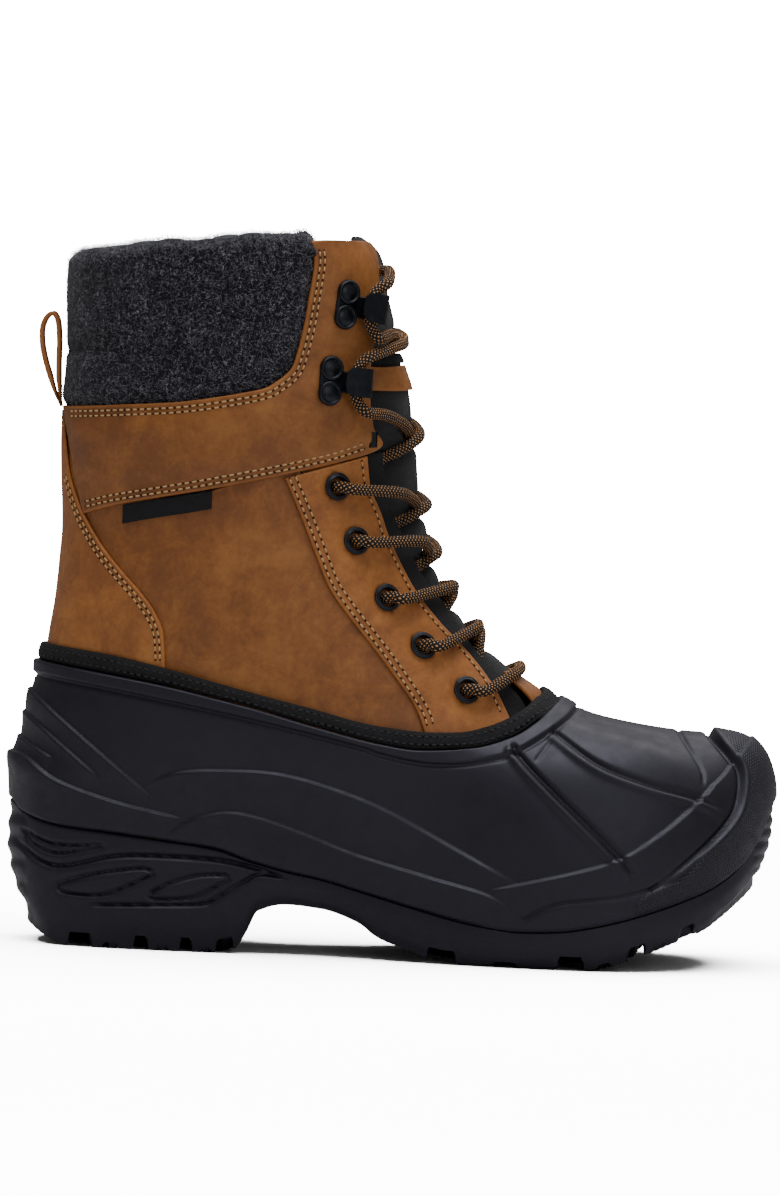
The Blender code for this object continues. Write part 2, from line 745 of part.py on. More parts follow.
def build_counter(leather):
    """Heel counter, one piece wrapped round the back."""
    grid = []
    rows = 11
    for r in range(rows):
        t = r / (rows - 1)
        high = 218.0 + (108.0 - 218.0) * t
        edge_x = curve_x(COUNTER_EDGE, max(high, 109.0))
        line = []
        edge = abs(u_at(edge_x, high, 1))
        columns = 17
        for c in range(columns):
            u = edge * (2.0 * c / (columns - 1) - 1.0)
            line.append((u if abs(u) > 1e-6 else 1e-6, high))
        grid.append(line)
    return skin_patch("heel_counter", leather, grid, OVER_IN + 0.4, OVER_OUT)


def build_quarter(side, name, leather):
    """Base leather from the back seam to the eyestay seam."""
    grid = []
    rows = 9
    columns = 15
    for r in range(rows):
        t = r / (rows - 1)
        line = []
        for c in range(columns):
            s = c / (columns - 1)
            bottom_x = -144.0 + (18.6 + 144.0) * s
            bottom_z = tucked(bottom_x)
            seam_z = 197.0 + (80.6 - 197.0) * (1 - t)
            seam_z = 80.6 + (203.0 - 80.6) * t
            seam_x = curve_x(SEAM, min(seam_z, 197.5)) - 2.1
            top_x = -141.0 + (seam_x + 141.0) * s
            top_z = 214.0 + (203.0 - 214.0) * s - 24.0 * math.sin(math.pi * s) ** 1.2
            z = bottom_z + (top_z - bottom_z) * t
            limit = curve_x(SEAM, min(max(z, 80.0), 197.5)) - 2.1
            back = shaft(z)[0]
            u = 0.0025 + (abs(u_at(limit, z, 1)) - 0.0025) * s
            line.append((u * side, z))
        grid.append(line)
    return skin_patch(name, leather, grid, BASE_IN, BASE_OUT)


def build_eyestay(side, name, leather):
    """Facing that carries the five eyelets."""
    rear = []
    front = []
    count = 13
    for i in range(count):
        t = i / (count - 1)
        z = 80.8 + (197.0 - 80.8) * t
        x = curve_x(SEAM, z)
        rear.append((x, min(z, curve_z(CUFF_BOTTOM, x) - 1.5)))
        zf = 90.0 + (206.0 - 90.0) * t
        xf = curve_x(EYESTAY_FRONT, zf)
        front.append((xf, min(zf, curve_z(CUFF_BOTTOM, xf) - 1.5)))
    grid = []
    for r in range(count):
        a = rear[r]
        b = front[r]
        grid.append([(a[0] + (b[0] - a[0]) * c / 5.0, a[1] + (b[1] - a[1]) * c / 5.0)
                     for c in range(6)])
    thing = skin_patch(name, leather, to_turn(grid, side), BASE_IN, OVER_OUT)
    for number, (x, z) in enumerate(EYELETS):
        drill(thing, skin_frame(x, z, side), EYELET_D * 0.5 - 1.2, number)
    return thing


def build_strip(side, name, material):
    """Narrow black facing that shows in front of the eyestay."""
    grid = []
    count = 13
    for i in range(count):
        t = i / (count - 1)
        z = 92.0 + (205.6 - 92.0) * t
        x = curve_x(EYESTAY_FRONT, z) + 0.5
        zf = 99.0 + (205.9 - 99.0) * t
        xf = curve_x(STRIP_FRONT, max(zf, 101.0))
        z = min(z, curve_z(CUFF_BOTTOM, x) - 0.5)
        zf = min(zf, 205.9)
        grid.append([(x + (xf - x) * c / 2.0, z + (zf - z) * c / 2.0) for c in range(3)])
    return skin_patch(name, material, to_turn(grid, side), BASE_IN, BASE_OUT + 0.4)


def build_cuff(side, name, leather):
    """Padded leather cuff, a bent band from the counter up to the collar's front end."""
    low = [(x, z + 0.0) for x, z in CUFF_BOTTOM]
    outer = low[:-1] + CUFF_FRONT[:-1]
    inner = CUFF_INNER
    rows = 5
    columns = 26
    grid = between(outer, inner, rows, columns)
    for r in range(rows):
        for c in range(columns):
            x, z = grid[r][c]
            if z < 219.0 and x < -100.0:
                x = max(x, curve_x(COUNTER_EDGE, z) + 0.5)
            grid[r][c] = (x, min(z, 292.0))
    return skin_patch(name, leather, to_turn(grid, side), OVER_IN + 0.2, OVER_OUT)


def collar_low(x):
    """Lower edge of the wool collar above a side-view x."""
    return curve_z(CUFF_INNER[:-1], x) + 0.5


def collar_stations():
    xs = [-141.9, -138.0, -130.0, -118.0, -104.0, -90.0, -76.0, -64.0, -57.0, -52.5, -49.5,
          -47.2, -45.6, -44.2, -43.0, -42.0]
    ring = [(x, -1) for x in reversed(xs)] + [(x, 1) for x in xs[1:]]
    return ring


def build_collar(material):
    """Padded wool collar round the back and sides of the opening."""
    outer = []
    inner = []
    stations = collar_stations()
    rows = 6
    for r in range(rows):
        t = r / (rows - 1)
        line_out = []
        line_in = []
        for x, side in stations:
            low = collar_low(x)
            top = 281.0 + (x + 140.0) * 0.105
            if x < -136.0:
                top -= 1.5
            z = low + (top - low) * t
            swell = math.sin(math.pi * min(max(t, 0.0), 1.0)) ** 0.5
            lift_out = -1.4 + 1.8 * swell if t < 1.0 else -3.2
            lift_in = -8.5 if t < 1.0 else -6.6
            back = shaft(z)[0]
            xx = max(x, back + 0.3) if x > -141.5 else back + 0.001
            u = u_at(xx, z, side)
            line_out.append(skin(u, z, lift_out))
            line_in.append(skin(u, z, lift_in))
        outer.append(line_out)
        inner.append(line_in)
    return thick_patch("wool_collar", material, outer, inner)


def throat_half(z):
    """Half breadth of the throat at a height."""
    if z > 206.0:
        x = curve_x(CUFF_FRONT[:8], min(z, 278.0))
    else:
        x = curve_x(STRIP_FRONT, max(z, 101.0))
    return abs(skin_point(u_at(x, z, 1), z).y)


def build_shaft_lining(material):
    """Felt lining of the shaft, open along the throat."""
    stations = [-141.9, -139.0, -132.0, -121.0, -108.0, -95.0, -82.0, -70.0, -60.0, -54.0, -50.0,
                -47.0, -44.8, -43.2, -42.0]
    rows = 8
    outer = []
    inner = []
    for r in range(rows):
        t = r / (rows - 1)
        line_out = []
        line_in = []
        path = [(x, -1) for x in reversed(stations)] + [(x, 1) for x in stations[1:]]
        for x, side in path:
            share = (x + 141.9) / (-42.0 + 141.9)
            high = collar_low(x) - 2.6
            bottom_x = -143.0 + (30.0 + 143.0) * share
            low = tucked(bottom_x, 1.0)
            z = low + (high - low) * t
            if z > 206.0:
                front_x = -40.0
            else:
                front_x = curve_x(EYESTAY_FRONT, max(z, 98.0)) - 24.0
            back = shaft(z)[0]
            at_top = x
            spread = back + (front_x - back) * share
            weight = max(0.0, min(1.0, (z - 150.0) / 60.0))
            xx = spread + (at_top - spread) * weight
            if share < 1e-6:
                xx = back + 0.001
            u = u_at(xx, z, side)
            line_out.append(skin(u, z, BASE_IN - 1.3))
            line_in.append(skin(u, z, BASE_IN - 1.3 - LINING))
        outer.append(line_out)
        inner.append(line_in)
    return thick_patch("shaft_lining", material, outer, inner)


# ---------------------------------------------------------------- tongue

def ridge_u(y, z):
    """Turn parameter on the front where the skin has a given y."""
    half = shaft(z)[2]
    goal = min(abs(y) / half, 0.98)
    low = 0.5
    high = 1.0
    for _ in range(30):
        middle = (low + high) / 2
        if math.sin(math.pi * middle) ** (1.0 + blend_table(FRONT_SHAPE, z) * middle) > goal:
            low = middle
        else:
            high = middle
    return (low + high) / 2 * (1.0 if y > 0 else -1.0)


def tongue_depth(y, z):
    """Lift of the tongue's outer face across its breadth."""
    reach = max(throat_half(z), 12.0)
    share = abs(y) / reach
    table = [(0.0, -7.6), (0.28, -8.5), (0.6, -10.6), (0.85, -11.6), (1.0, -11.9), (3.0, -12.2)]
    return blend_table(table, share)


def tongue_point(y, z, lift):
    return skin(ridge_u(y, z), z, lift + tongue_depth(y, z))


def build_tongue(material):
    outer = []
    inner = []
    heights = [104.6, 108.0, 114.0, 121.0, 129.0, 137.0, 145.0, 153.0, 160.0, 168.0, 178.0, 192.0, 210.0,
               230.0, 250.0, 270.0, 284.0, 291.0, 296.0]
    shares = [-1.0, -0.8, -0.6, -0.42, -0.26, -0.12, 0.0, 0.12, 0.26, 0.42, 0.6, 0.8, 1.0]
    for z in heights:
        half = min(31.0, throat_half(z) + 8.0)
        if z > 285.0:
            half -= (z - 285.0) ** 2 * 0.06
        if z < 108.0:
            half = min(half, throat_half(z) + 2.0)
        outer.append([tongue_point(s * half if s else 0.001, z, 0.0) for s in shares])
        inner.append([tongue_point(s * half if s else 0.001, z, -TONGUE) for s in shares])
    return thick_patch("tongue", material, outer, inner)


def build_on_tongue(name, material, low, high, half, rows, thick=1.2):
    outer = []
    inner = []
    for r in range(rows):
        z = low + (high - low) * r / (rows - 1)
        ys = [half * s for s in (-1.0, -0.75, -0.5, -0.25, 0.0005, 0.25, 0.5, 0.75, 1.0)]
        outer.append([tongue_point(y, z, GAP + 0.6 + thick) for y in ys])
        inner.append([tongue_point(y, z, GAP + 0.6) for y in ys])
    return thick_patch(name, material, outer, inner)


def build_throat_tab(leather):
    """Tan leather piece that closes the foot of the throat."""
    outer = []
    inner = []
    for r in range(6):
        z = 105.4 + (118.4 - 105.4) * r / 5.0
        half = throat_half(z) - 2.2
        ys = [half * s for s in (-1.0, -0.7, -0.4, -0.0005, 0.4, 0.7, 1.0)]
        outer.append([skin(ridge_u(y, z), z, 0.4) for y in ys])
        inner.append([skin(ridge_u(y, z), z, -1.0) for y in ys])
    return thick_patch("throat_tab", leather, outer, inner)


# ---------------------------------------------------------------- hardware

def skin_frame(x, z, side, lift=0.0):
    """Matrix on the skin: X forward along the surface, Y up the surface, Z outward."""
    u = u_at(x, z, side)
    out = skin_normal(u, z)
    up = Vector((0.0, 0.0, 1.0))
    up = (up - out * up.dot(out)).normalized()
    forward = up.cross(out)
    if forward.x < 0:
        forward = -forward
    matrix = Matrix((forward, out.cross(forward) if False else up, out)).transposed().to_4x4()
    matrix.translation = skin_point(u, z) + out * lift
    return matrix


def place_lathe(name, material, profile, frame, sides=12):
    """Closed turned solid; profile is (radius, height) along the frame's outward axis."""
    mesh = bmesh.new()
    rings = []
    for radius, height in profile:
        ring = []
        if radius < 1e-6:
            ring = [mesh.verts.new(frame @ Vector((0.0, 0.0, height)))]
        else:
            for i in range(sides):
                a = 2 * math.pi * i / sides
                ring.append(mesh.verts.new(frame @ Vector((radius * math.cos(a),
                                                           radius * math.sin(a), height))))
        rings.append(ring)
    pairs = list(zip(rings, rings[1:]))
    if len(rings[0]) > 1 and len(rings[-1]) > 1:
        pairs.append((rings[-1], rings[0]))
    for a, b in pairs:
        for i in range(sides):
            j = (i + 1) % sides
            if len(a) == 1:
                mesh.faces.new((a[0], b[i], b[j]))
            elif len(b) == 1:
                mesh.faces.new((a[i], a[j], b[0]))
            else:
                mesh.faces.new((a[i], a[j], b[j], b[i]))
    return finish(mesh, name, material, 0.6)


def drill(thing, frame, radius, number):
    """Round hole through a panel, cut by a hidden cylinder."""
    cutter = place_lathe(thing.name + "_hole_" + str(number), thing.data.materials[0],
                         [(0.0, -9.0), (radius, -9.0), (radius, 5.0), (0.0, 5.0)], frame, 14)
    cutter.hide_render = True
    cutter.display_type = 'WIRE'
    cut = thing.modifiers.new("hole " + str(number), 'BOOLEAN')
    cut.object = cutter
    cut.operation = 'DIFFERENCE'
    cut.solver = 'EXACT'


def build_eyelet(name, material, x, z, side):
    """Grommet: outer flange and barrel through the facing."""
    bore = EYELET_BORE * 0.5
    barrel = EYELET_D * 0.5 - 1.2 - GAP
    flange = EYELET_D * 0.5
    profile = [(bore, -4.2), (bore, 0.9), (bore + 0.8, 1.5), (flange - 0.6, 1.3), (flange, 0.5),
               (barrel, 0.5), (barrel, -4.2)]
    return place_lathe(name, material, profile, skin_frame(x, z, side), 12)


def build_hook(name, base_name, material, rivets, side):
    """Riveted plate with a lace hook folded out of it, and its two rivets."""
    top, low = rivets
    x = (top[0] + low[0]) / 2
    z = (top[1] + low[1]) / 2
    frame = skin_frame(x, z, side)
    lean = math.atan2(top[0] - low[0], top[1] - low[1])
    frame = frame @ Matrix.Rotation(-lean, 4, 'Z')
    path = [(-4.6, 1.4), (4.6, 1.4), (9.0, 1.5), (12.0, 2.4), (13.6, 4.8), (12.6, 7.6), (9.8, 8.8),
            (6.2, 8.9)]
    line = even([(p[0], 0.0, p[1]) for p in path], 16)
    mesh = bmesh.new()
    loops = []
    for i, p in enumerate(line):
        ahead = line[min(i + 1, 15)] - line[max(i - 1, 0)]
        normal = Vector((-ahead.z, 0.0, ahead.x)).normalized()
        t = i / 15.0
        half = 9.8 if t < 0.30 else 9.8 + (4.6 - 9.8) * min((t - 0.30) / 0.16, 1.0)
        if t > 0.86:
            half = 4.6 - 1.6 * ((t - 0.86) / 0.14) ** 2
        loop = []
        for sy, sn in ((-1, -1), (1, -1), (1, 1), (-1, 1)):
            q = p + normal * (0.5 * sn)
            loop.append(mesh.verts.new(frame @ Vector((q.x, half * sy, q.z))))
        loops.append(loop)
    for a, b in zip(loops, loops[1:]):
        for i in range(4):
            j = (i + 1) % 4
            mesh.faces.new((a[i], a[j], b[j], b[i]))
    mesh.faces.new(tuple(loops[0]))
    mesh.faces.new(tuple(reversed(loops[-1])))
    finish(mesh, name, material, 0.6)
    dome = [(0.0, 2.3), (3.7, 2.3), (3.6, 3.0), (2.2, 4.1), (0.0, 4.5)]
    for number, (rx, rz) in enumerate(((0.0, 5.1), (0.0, -5.1))):
        shift = frame @ Matrix.Translation((rx - 0.4, rz, 0.0))
        place_lathe(base_name + "_" + ("upper", "lower")[number], material, dome, shift, 8)


# ---------------------------------------------------------------- pull loop and label

def build_pull_loop(leather):
    """Closed strap loop stitched at the back of the collar."""
    outline = [(-142.6, 219.8), (-147.0, 228.0), (-149.9, 236.7), (-151.8, 244.7),
               (-151.9, 252.0), (-149.6, 257.0), (-146.2, 258.2), (-143.9, 254.6),
               (-143.0, 247.0), (-142.9, 238.0), (-142.7, 229.0), (-142.3, 223.0)]
    width = 18.0
    thick = 1.9
    base = Vector((-142.4, 0.0, 220.0))
    count = len(outline)
    mesh = bmesh.new()
    loops = []
    fine = []
    for i in range(count * 2):
        t = i / 2.0
        i1 = int(t) % count
        s = t - int(t)
        p = [Vector((outline[(i1 + o) % count][0], 0.0, outline[(i1 + o) % count][1]))
             for o in (-1, 0, 1, 2)]
        fine.append((p[1] * 2 + (p[2] - p[0]) * s + (p[0] * 2 - p[1] * 5 + p[2] * 4 - p[3]) * s * s
                     + (p[1] * 3 - p[0] - p[2] * 3 + p[3]) * s ** 3) * 0.5)
    centre = Vector((-147.0, 0.0, 243.0))
    total = len(fine)
    for i, p in enumerate(fine):
        ahead = (fine[(i + 1) % total] - fine[i - 1]).normalized()
        inward = Vector((-ahead.z, 0.0, ahead.x))
        if inward.dot(centre - p) < 0:
            inward = -inward
        q = p + inward * thick
        if p.z < 231.0:
            share = max((p.z - 219.8) / 11.2, 0.0)
            q = p + inward * min(thick, 0.35 + 1.55 * share)
        loops.append([mesh.verts.new(Vector((p.x, -width / 2, p.z))),
                      mesh.verts.new(Vector((p.x, width / 2, p.z))),
                      mesh.verts.new(Vector((q.x, width / 2, q.z))),
                      mesh.verts.new(Vector((q.x, -width / 2, q.z)))])
    for i in range(total):
        a = loops[i]
        b = loops[(i + 1) % total]
        for c in range(4):
            d = (c + 1) % 4
            mesh.faces.new((a[c], a[d], b[d], b[c]))
    thing = finish(mesh, "pull_loop", leather)
    return thing, base


def build_side_label(material):
    grid = []
    for r in range(3):
        line = []
        for c in range(7):
            x = -114.8 + 36.6 * c / 6.0
            top = curve_z(CUFF_BOTTOM, x) - 0.6
            line.append((x, top - 7.6 * r / 2.0))
        grid.append(line)
    return skin_patch("side_label", material, to_turn(grid, -1), BASE_OUT + GAP, BASE_OUT + 1.2)


# ---------------------------------------------------------------- lace

CROSSINGS = [131.0, 147.0, 164.5, 184.0, 213.0, 251.5]   # heights on the tongue's ridge


def eyelet_spot(number):
    x, z = EYELETS[number]
    return abs(skin_point(u_at(x, z, 1), z).y), z


def front_point(y, z, lift):
    return skin(ridge_u(y if abs(y) > 0.01 else 0.01, z), z, lift)


def eyelet_dive(number, side):
    """Route through an eyelet, from outside to inside, ends pointing to the throat."""
    x, z = EYELETS[number]
    frame = skin_frame(x, z, side)
    local = [(6.5, -1.2, 4.5), (2.0, -0.4, 3.7), (0.1, 0.0, 1.2), (0.0, 0.1, -2.4),
             (1.6, 0.5, -6.0), (6.0, 1.0, -7.8)]
    return [frame @ Vector(p) for p in local]


def crossing(side, start, centre_z, end, start_half, end_half, over, start_lift, end_lift):
    """Points between two fixings, from one side of the tongue to the other."""
    points = []
    y0, z0 = start
    y1, z1 = end
    middle = (z0 + z1) / 2
    top = 1.9 if over else -2.8
    stops = [(0.6, None), (0.28, None), (0.0, top), (-0.28, None), (-0.6, None)]
    if end_lift < 4.5:
        stops.append((-1.0, end_lift))
    if start_lift < 0:
        stops = [(1.15, start_lift), (0.8, start_lift + 0.3)] + stops
    for share, lift in stops:
        if share > 0:
            y = side * share * start_half
            t = abs(y) / y0
            z = middle + (z0 - middle) * t + (centre_z - middle) * (1 - t * t)
        elif share < 0:
            y = side * share * end_half
            t = abs(y) / y1
            z = middle + (z1 - middle) * t + (centre_z - middle) * (1 - t * t)
        else:
            y = 0.0
            z = centre_z
        if lift is None:
            ground = tongue_depth(abs(y), z) + LACE_D / 2 + 2.9
            away = start_lift if share > 0 else end_lift
            mix = abs(share)
            chord = top * (1 - mix) + away * mix
            if away < 0 and mix > 0.5:
                chord = -4.8
            lift = max(ground, chord)
        elif share == 0.8:
            lift = max(lift, tongue_depth(abs(y), z) + LACE_D / 2 + 1.5)
        points.append(front_point(y, z, lift))
    return points


def hook_turn(number, side):
    """Route round a lace hook, bottom to top."""
    top, low = HOOK_BASES[number]
    frame = skin_frame((top[0] + low[0]) / 2, (top[1] + low[1]) / 2, side)
    lean = math.atan2(top[0] - low[0], top[1] - low[1])
    frame = frame @ Matrix.Rotation(-lean, 4, 'Z')
    local = [(15.5, -11.5, 4.6), (11.2, -8.2, 5.0), (9.2, -3.5, 5.15), (9.2, 3.5, 5.15),
             (11.2, 8.2, 5.0), (15.5, 11.5, 4.6)]
    return [frame @ Vector(p) for p in local]


def half_route(first_side, over_first):
    """Route of one end of the lace from its first eyelet to its tip."""
    points = []
    side = first_side
    over = over_first
    points += eyelet_dive(0, side)
    for number in range(4):
        a = eyelet_spot(number)
        b = eyelet_spot(number + 1)
        points += crossing(side, a, CROSSINGS[number], b, throat_half(a[1]), throat_half(b[1]),
                           over, -7.7, 4.45)
        side = -side
        points += eyelet_dive(number + 1, side)
        over = not over
    a = eyelet_spot(4)
    y_low = abs(hook_turn(0, 1)[0].y)
    points += crossing(side, a, CROSSINGS[4], (y_low + 4.0, 226.0), throat_half(200.0),
                       y_low + 2.0, over, -7.5, 5.0)
    side = -side
    points += hook_turn(0, side)
    over = not over
    y_top = abs(hook_turn(0, 1)[-1].y)
    y_next = abs(hook_turn(1, 1)[0].y)
    points += crossing(side, (y_top + 4.0, 246.0), CROSSINGS[5], (y_next + 4.0, 256.0),
                       y_top + 1.0, y_next + 1.0, over, 5.0, 5.0)
    side = -side
    points += hook_turn(1, side)
    return points, side


def lace_route():
    """Whole lace: two halves joined by the bar across the lowest eyelets."""
    left, left_end = half_route(-1, True)
    right, right_end = half_route(1, False)
    y0, z0 = eyelet_spot(0)
    bar = []
    for share in (-0.62, -0.3, 0.0, 0.3, 0.62):
        y = share * y0
        z = z0 + (117.0 - z0) * (1 - share ** 2)
        bar.append(front_point(y, z, 3.4))

    tails = {}
    for end in (-1, 1):
        turn = [(0.88, 278.8, 3.4), (0.70, 280.2, 0.8), (0.72, 280.2, -3.2), (0.98, 278.0, -6.2)]
        tails[end] = [front_point(end * share * throat_half(z), z, lift)
                      for share, z, lift in turn]
        hung = [(-22.0, 268.0), (-25.5, 257.0), (-28.0, 246.0), (-29.5, 236.0)]
        tails[end] += [skin(u_at(x, z, end), z, -6.6) for x, z in hung]
    head = list(reversed(left + tails[left_end]))
    return head + bar + right + tails[right_end]


def build_lace(material, tip_material):
    route = lace_route()
    points = [route[0]]
    for i in range(1, len(route)):
        if (route[i] - route[i - 1]).length > 21.0:
            points.append(catmull(route, i - 0.5))
        points.append(route[i])
    curve = bpy.data.curves.new("lace", 'CURVE')
    curve.dimensions = '3D'
    spline = curve.splines.new('POLY')
    spline.points.add(len(points) - 1)
    for spot, p in zip(spline.points, points):
        spot.co = (p.x * MM, p.y * MM, p.z * MM, 1.0)
    curve.bevel_depth = LACE_D / 2 * MM
    curve.bevel_resolution = 2
    curve.use_fill_caps = True
    curve.materials.append(material)
    thing = bpy.data.objects.new("lace", curve)
    bpy.context.collection.objects.link(thing)
    for name, end, before in (("aglet_a", points[0], points[1]), ("aglet_b", points[-1], points[-2])):
        along = (end - before).normalized()
        sideways = along.cross(Vector((1.0, 0.0, 0.0))).normalized()
        frame = Matrix((sideways, along.cross(sideways), along)).transposed().to_4x4()
        frame.translation = end
        place_lathe(name, tip_material, [(0.0, 0.4), (2.0, 0.4), (2.0, 17.5),
                                         (0.0, 18.2)], frame, 10)
    length = sum((b - a).length for a, b in zip(points, points[1:]))
    return thing, length


# ---------------------------------------------------------------- assembly

def move_origin(thing, pivot):
    """Put an object's origin on its joint's axis without moving the shape."""
    for vertex in thing.data.vertices:
        vertex.co = vertex.co - pivot * MM
    thing.location = pivot * MM


def clear_scene():
    for thing in list(bpy.data.objects):
        bpy.data.objects.remove(thing, do_unlink=True)


def main():
    clear_scene()
    leather = tan_leather()
    metal = black_metal()
    web = black_web()
    felt = grey_felt()

    build_shell_and_sole()
    build_binding(web)
    build_counter(leather)
    for side, word in ((-1, "lateral"), (1, "medial")):
        build_quarter(side, "quarter_" + word, leather)
        build_eyestay(side, "eyestay_" + word, leather)
        build_strip(side, "edge_strip_" + word, web)
        build_cuff(side, "cuff_" + word, leather)
        for number, (x, z) in enumerate(EYELETS):
            build_eyelet("eyelet_%s_%d" % (word, number + 1), metal, x, z, side)
        for number, rivets in enumerate(HOOK_BASES):
            place = ("lower", "upper")[number]
            build_hook("lace_hook_%s_%s" % (word, place), "rivet_%s_%s" % (word, place),
                       metal, rivets, side)
    build_collar(charcoal_wool())
    build_shaft_lining(felt)
    hinge = Vector((50.0, 0.0, 102.0))
    tongue = build_tongue(black_mesh())
    move_origin(tongue, hinge)
    for thing in (build_on_tongue("tongue_patch", leather, 231.5, 241.5, 25.0, 4),
                  build_on_tongue("tongue_tape", web, 242.6, 246.8, 25.5, 3)):
        move_origin(thing, hinge)
    build_throat_tab(leather)
    loop, base = build_pull_loop(leather)
    move_origin(loop, base)
    build_side_label(web)
    build_lace(lace_braid(), surface("lace_tip", (0.02, 0.02, 0.02), 0.3))


main()
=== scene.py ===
import json
import math

import bmesh
import bpy
import numpy as np
from mathutils import Matrix, Vector

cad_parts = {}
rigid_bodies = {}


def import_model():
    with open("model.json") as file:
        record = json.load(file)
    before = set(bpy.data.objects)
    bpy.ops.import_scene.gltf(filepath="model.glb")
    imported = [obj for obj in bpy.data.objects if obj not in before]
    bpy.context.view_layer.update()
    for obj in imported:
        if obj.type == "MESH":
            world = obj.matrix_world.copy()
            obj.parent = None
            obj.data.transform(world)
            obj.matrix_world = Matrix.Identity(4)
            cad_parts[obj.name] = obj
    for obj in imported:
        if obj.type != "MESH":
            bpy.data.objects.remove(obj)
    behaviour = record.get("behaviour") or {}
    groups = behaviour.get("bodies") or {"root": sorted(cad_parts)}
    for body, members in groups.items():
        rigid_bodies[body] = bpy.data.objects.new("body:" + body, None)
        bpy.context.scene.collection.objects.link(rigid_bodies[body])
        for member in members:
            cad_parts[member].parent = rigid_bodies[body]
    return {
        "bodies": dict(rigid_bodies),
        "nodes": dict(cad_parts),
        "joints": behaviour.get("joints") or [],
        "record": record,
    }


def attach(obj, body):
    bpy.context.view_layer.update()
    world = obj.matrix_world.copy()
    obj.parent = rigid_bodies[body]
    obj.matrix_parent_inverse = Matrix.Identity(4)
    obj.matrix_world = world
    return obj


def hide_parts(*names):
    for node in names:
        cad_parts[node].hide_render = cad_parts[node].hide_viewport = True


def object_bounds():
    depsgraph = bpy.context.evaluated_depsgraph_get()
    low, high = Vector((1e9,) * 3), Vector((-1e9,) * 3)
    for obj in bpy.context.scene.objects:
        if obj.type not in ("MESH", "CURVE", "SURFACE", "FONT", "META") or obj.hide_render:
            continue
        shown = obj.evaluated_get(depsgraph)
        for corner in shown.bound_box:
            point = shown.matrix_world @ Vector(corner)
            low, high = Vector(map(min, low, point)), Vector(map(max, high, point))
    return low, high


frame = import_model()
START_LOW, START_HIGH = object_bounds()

MM = 0.001

# ---------------------------------------------------------------- dimensions, mm

GAP = 0.3
BASE_OUT = -1.9            # outer face of the base leather, from the skin surface
BASE_IN = -3.6
OVER_IN = -1.6             # inner face of an overlaid panel
OVER_OUT = 0.0
SHELL_WALL = 3.0
LINING = 4.0
TONGUE = 5.0
LACE_D = 4.6
LUG_DEPTH = 5.5
LEATHER_TUCK = 4.5         # how far the leather reaches down behind the binding
EYESTAY_WIDER = 5.0        # the eyestay laps this far over the quarter's seam
WALL_MIDDLE = 45.0         # height that the shell's wall faces away from
STRAP_WIDTH = 18.0         # pull loop
STRAP_THICK = 1.9
STRANDS = 7.0              # of each slanting family of the lace's braid
STRAND_PITCH = 1.70
CLOTH_FRAMES = 26
PUFF_SHARES = 1.25         # the padding's grid reaches this far over the throat's half width
PUFF_COLUMNS = 71
PUFF_ROWS = 197
PUFF_LOW = 104.0

SHAFT = [
    (78.0, -149.0, 100.0, 46.5), (88.0, -148.0, 87.0, 46.0), (98.0, -147.0, 75.0, 45.5),
    (105.0, -146.0, 65.0, 45.0), (110.0, -145.4, 59.5, 45.0), (117.8, -144.8, 47.5, 45.0),
    (123.6, -144.3, 40.4, 45.0), (130.2, -143.4, 33.2, 45.0), (139.3, -142.0, 25.5, 45.0),
    (148.0, -141.2, 19.5, 45.0), (156.3, -140.6, 15.1, 45.0), (170.0, -139.9, 11.3, 45.0),
    (179.2, -140.2, 8.9, 45.2), (193.7, -141.2, 5.8, 45.5), (206.3, -141.9, 5.1, 46.0),
    (218.4, -142.0, 2.4, 46.5), (231.7, -141.0, 0.3, 47.0), (241.3, -140.6, -3.0, 47.0),
    (254.3, -141.0, -5.5, 47.0), (268.7, -141.6, -9.0, 47.5), (283.0, -141.0, -12.0, 48.0),
    (297.0, -138.5, -17.4, 48.0), (304.0, -137.0, -20.0, 48.0),
]
FRONT_SHAPE = [(85.0, 0.0), (105.0, -0.12), (115.0, -0.28), (130.0, -0.28), (145.0, -0.22),
               (160.0, -0.1), (179.0, 0.2), (192.0, 0.33), (206.0, 0.28), (220.0, 0.1),
               (240.0, -0.12), (268.0, -0.32), (300.0, -0.35)]
BIND_TOP = [(-144.6, 121.9), (-120.0, 119.7), (-93.9, 115.1), (-67.7, 108.9), (-36.4, 101.8),
            (-6.0, 95.0), (14.8, 93.2), (25.1, 93.4), (37.4, 96.0), (50.6, 102.0), (59.5, 110.0)]
BIND_BOTTOM = [(-144.7, 115.1), (-120.0, 112.5), (-94.8, 108.8), (-57.0, 100.5), (-30.0, 93.6),
               (-5.8, 88.0), (9.8, 86.0), (30.5, 86.9), (46.0, 91.2), (56.0, 97.2), (65.0, 104.8)]
CUFF_BOTTOM = [(-131.5, 176.1), (-114.6, 181.4), (-78.4, 189.1), (-35.2, 199.4), (-10.2, 207.7)]
CUFF_INNER = [(-141.9, 219.6), (-116.6, 221.7), (-89.5, 224.4), (-61.4, 230.0), (-53.9, 233.6),
              (-48.1, 238.7), (-45.8, 244.9), (-43.4, 255.7), (-41.7, 267.8), (-40.0, 282.1),
              (-41.6, 291.4)]
CUFF_FRONT = [(-10.2, 207.7), (-13.1, 216.1), (-15.0, 227.8), (-15.3, 238.4), (-14.9, 245.1),
              (-13.9, 253.9), (-12.6, 266.6), (-13.5, 278.8), (-14.2, 285.0), (-16.4, 290.3),
              (-19.6, 292.6), (-24.9, 293.4), (-41.0, 291.4)]
COUNTER_EDGE = [(-142.1, 218.6), (-140.6, 207.6), (-137.9, 192.1), (-132.3, 178.4),
                (-124.1, 165.5), (-114.3, 154.2), (-106.2, 146.0), (-99.6, 137.7),
                (-95.8, 129.3), (-94.1, 108.0)]
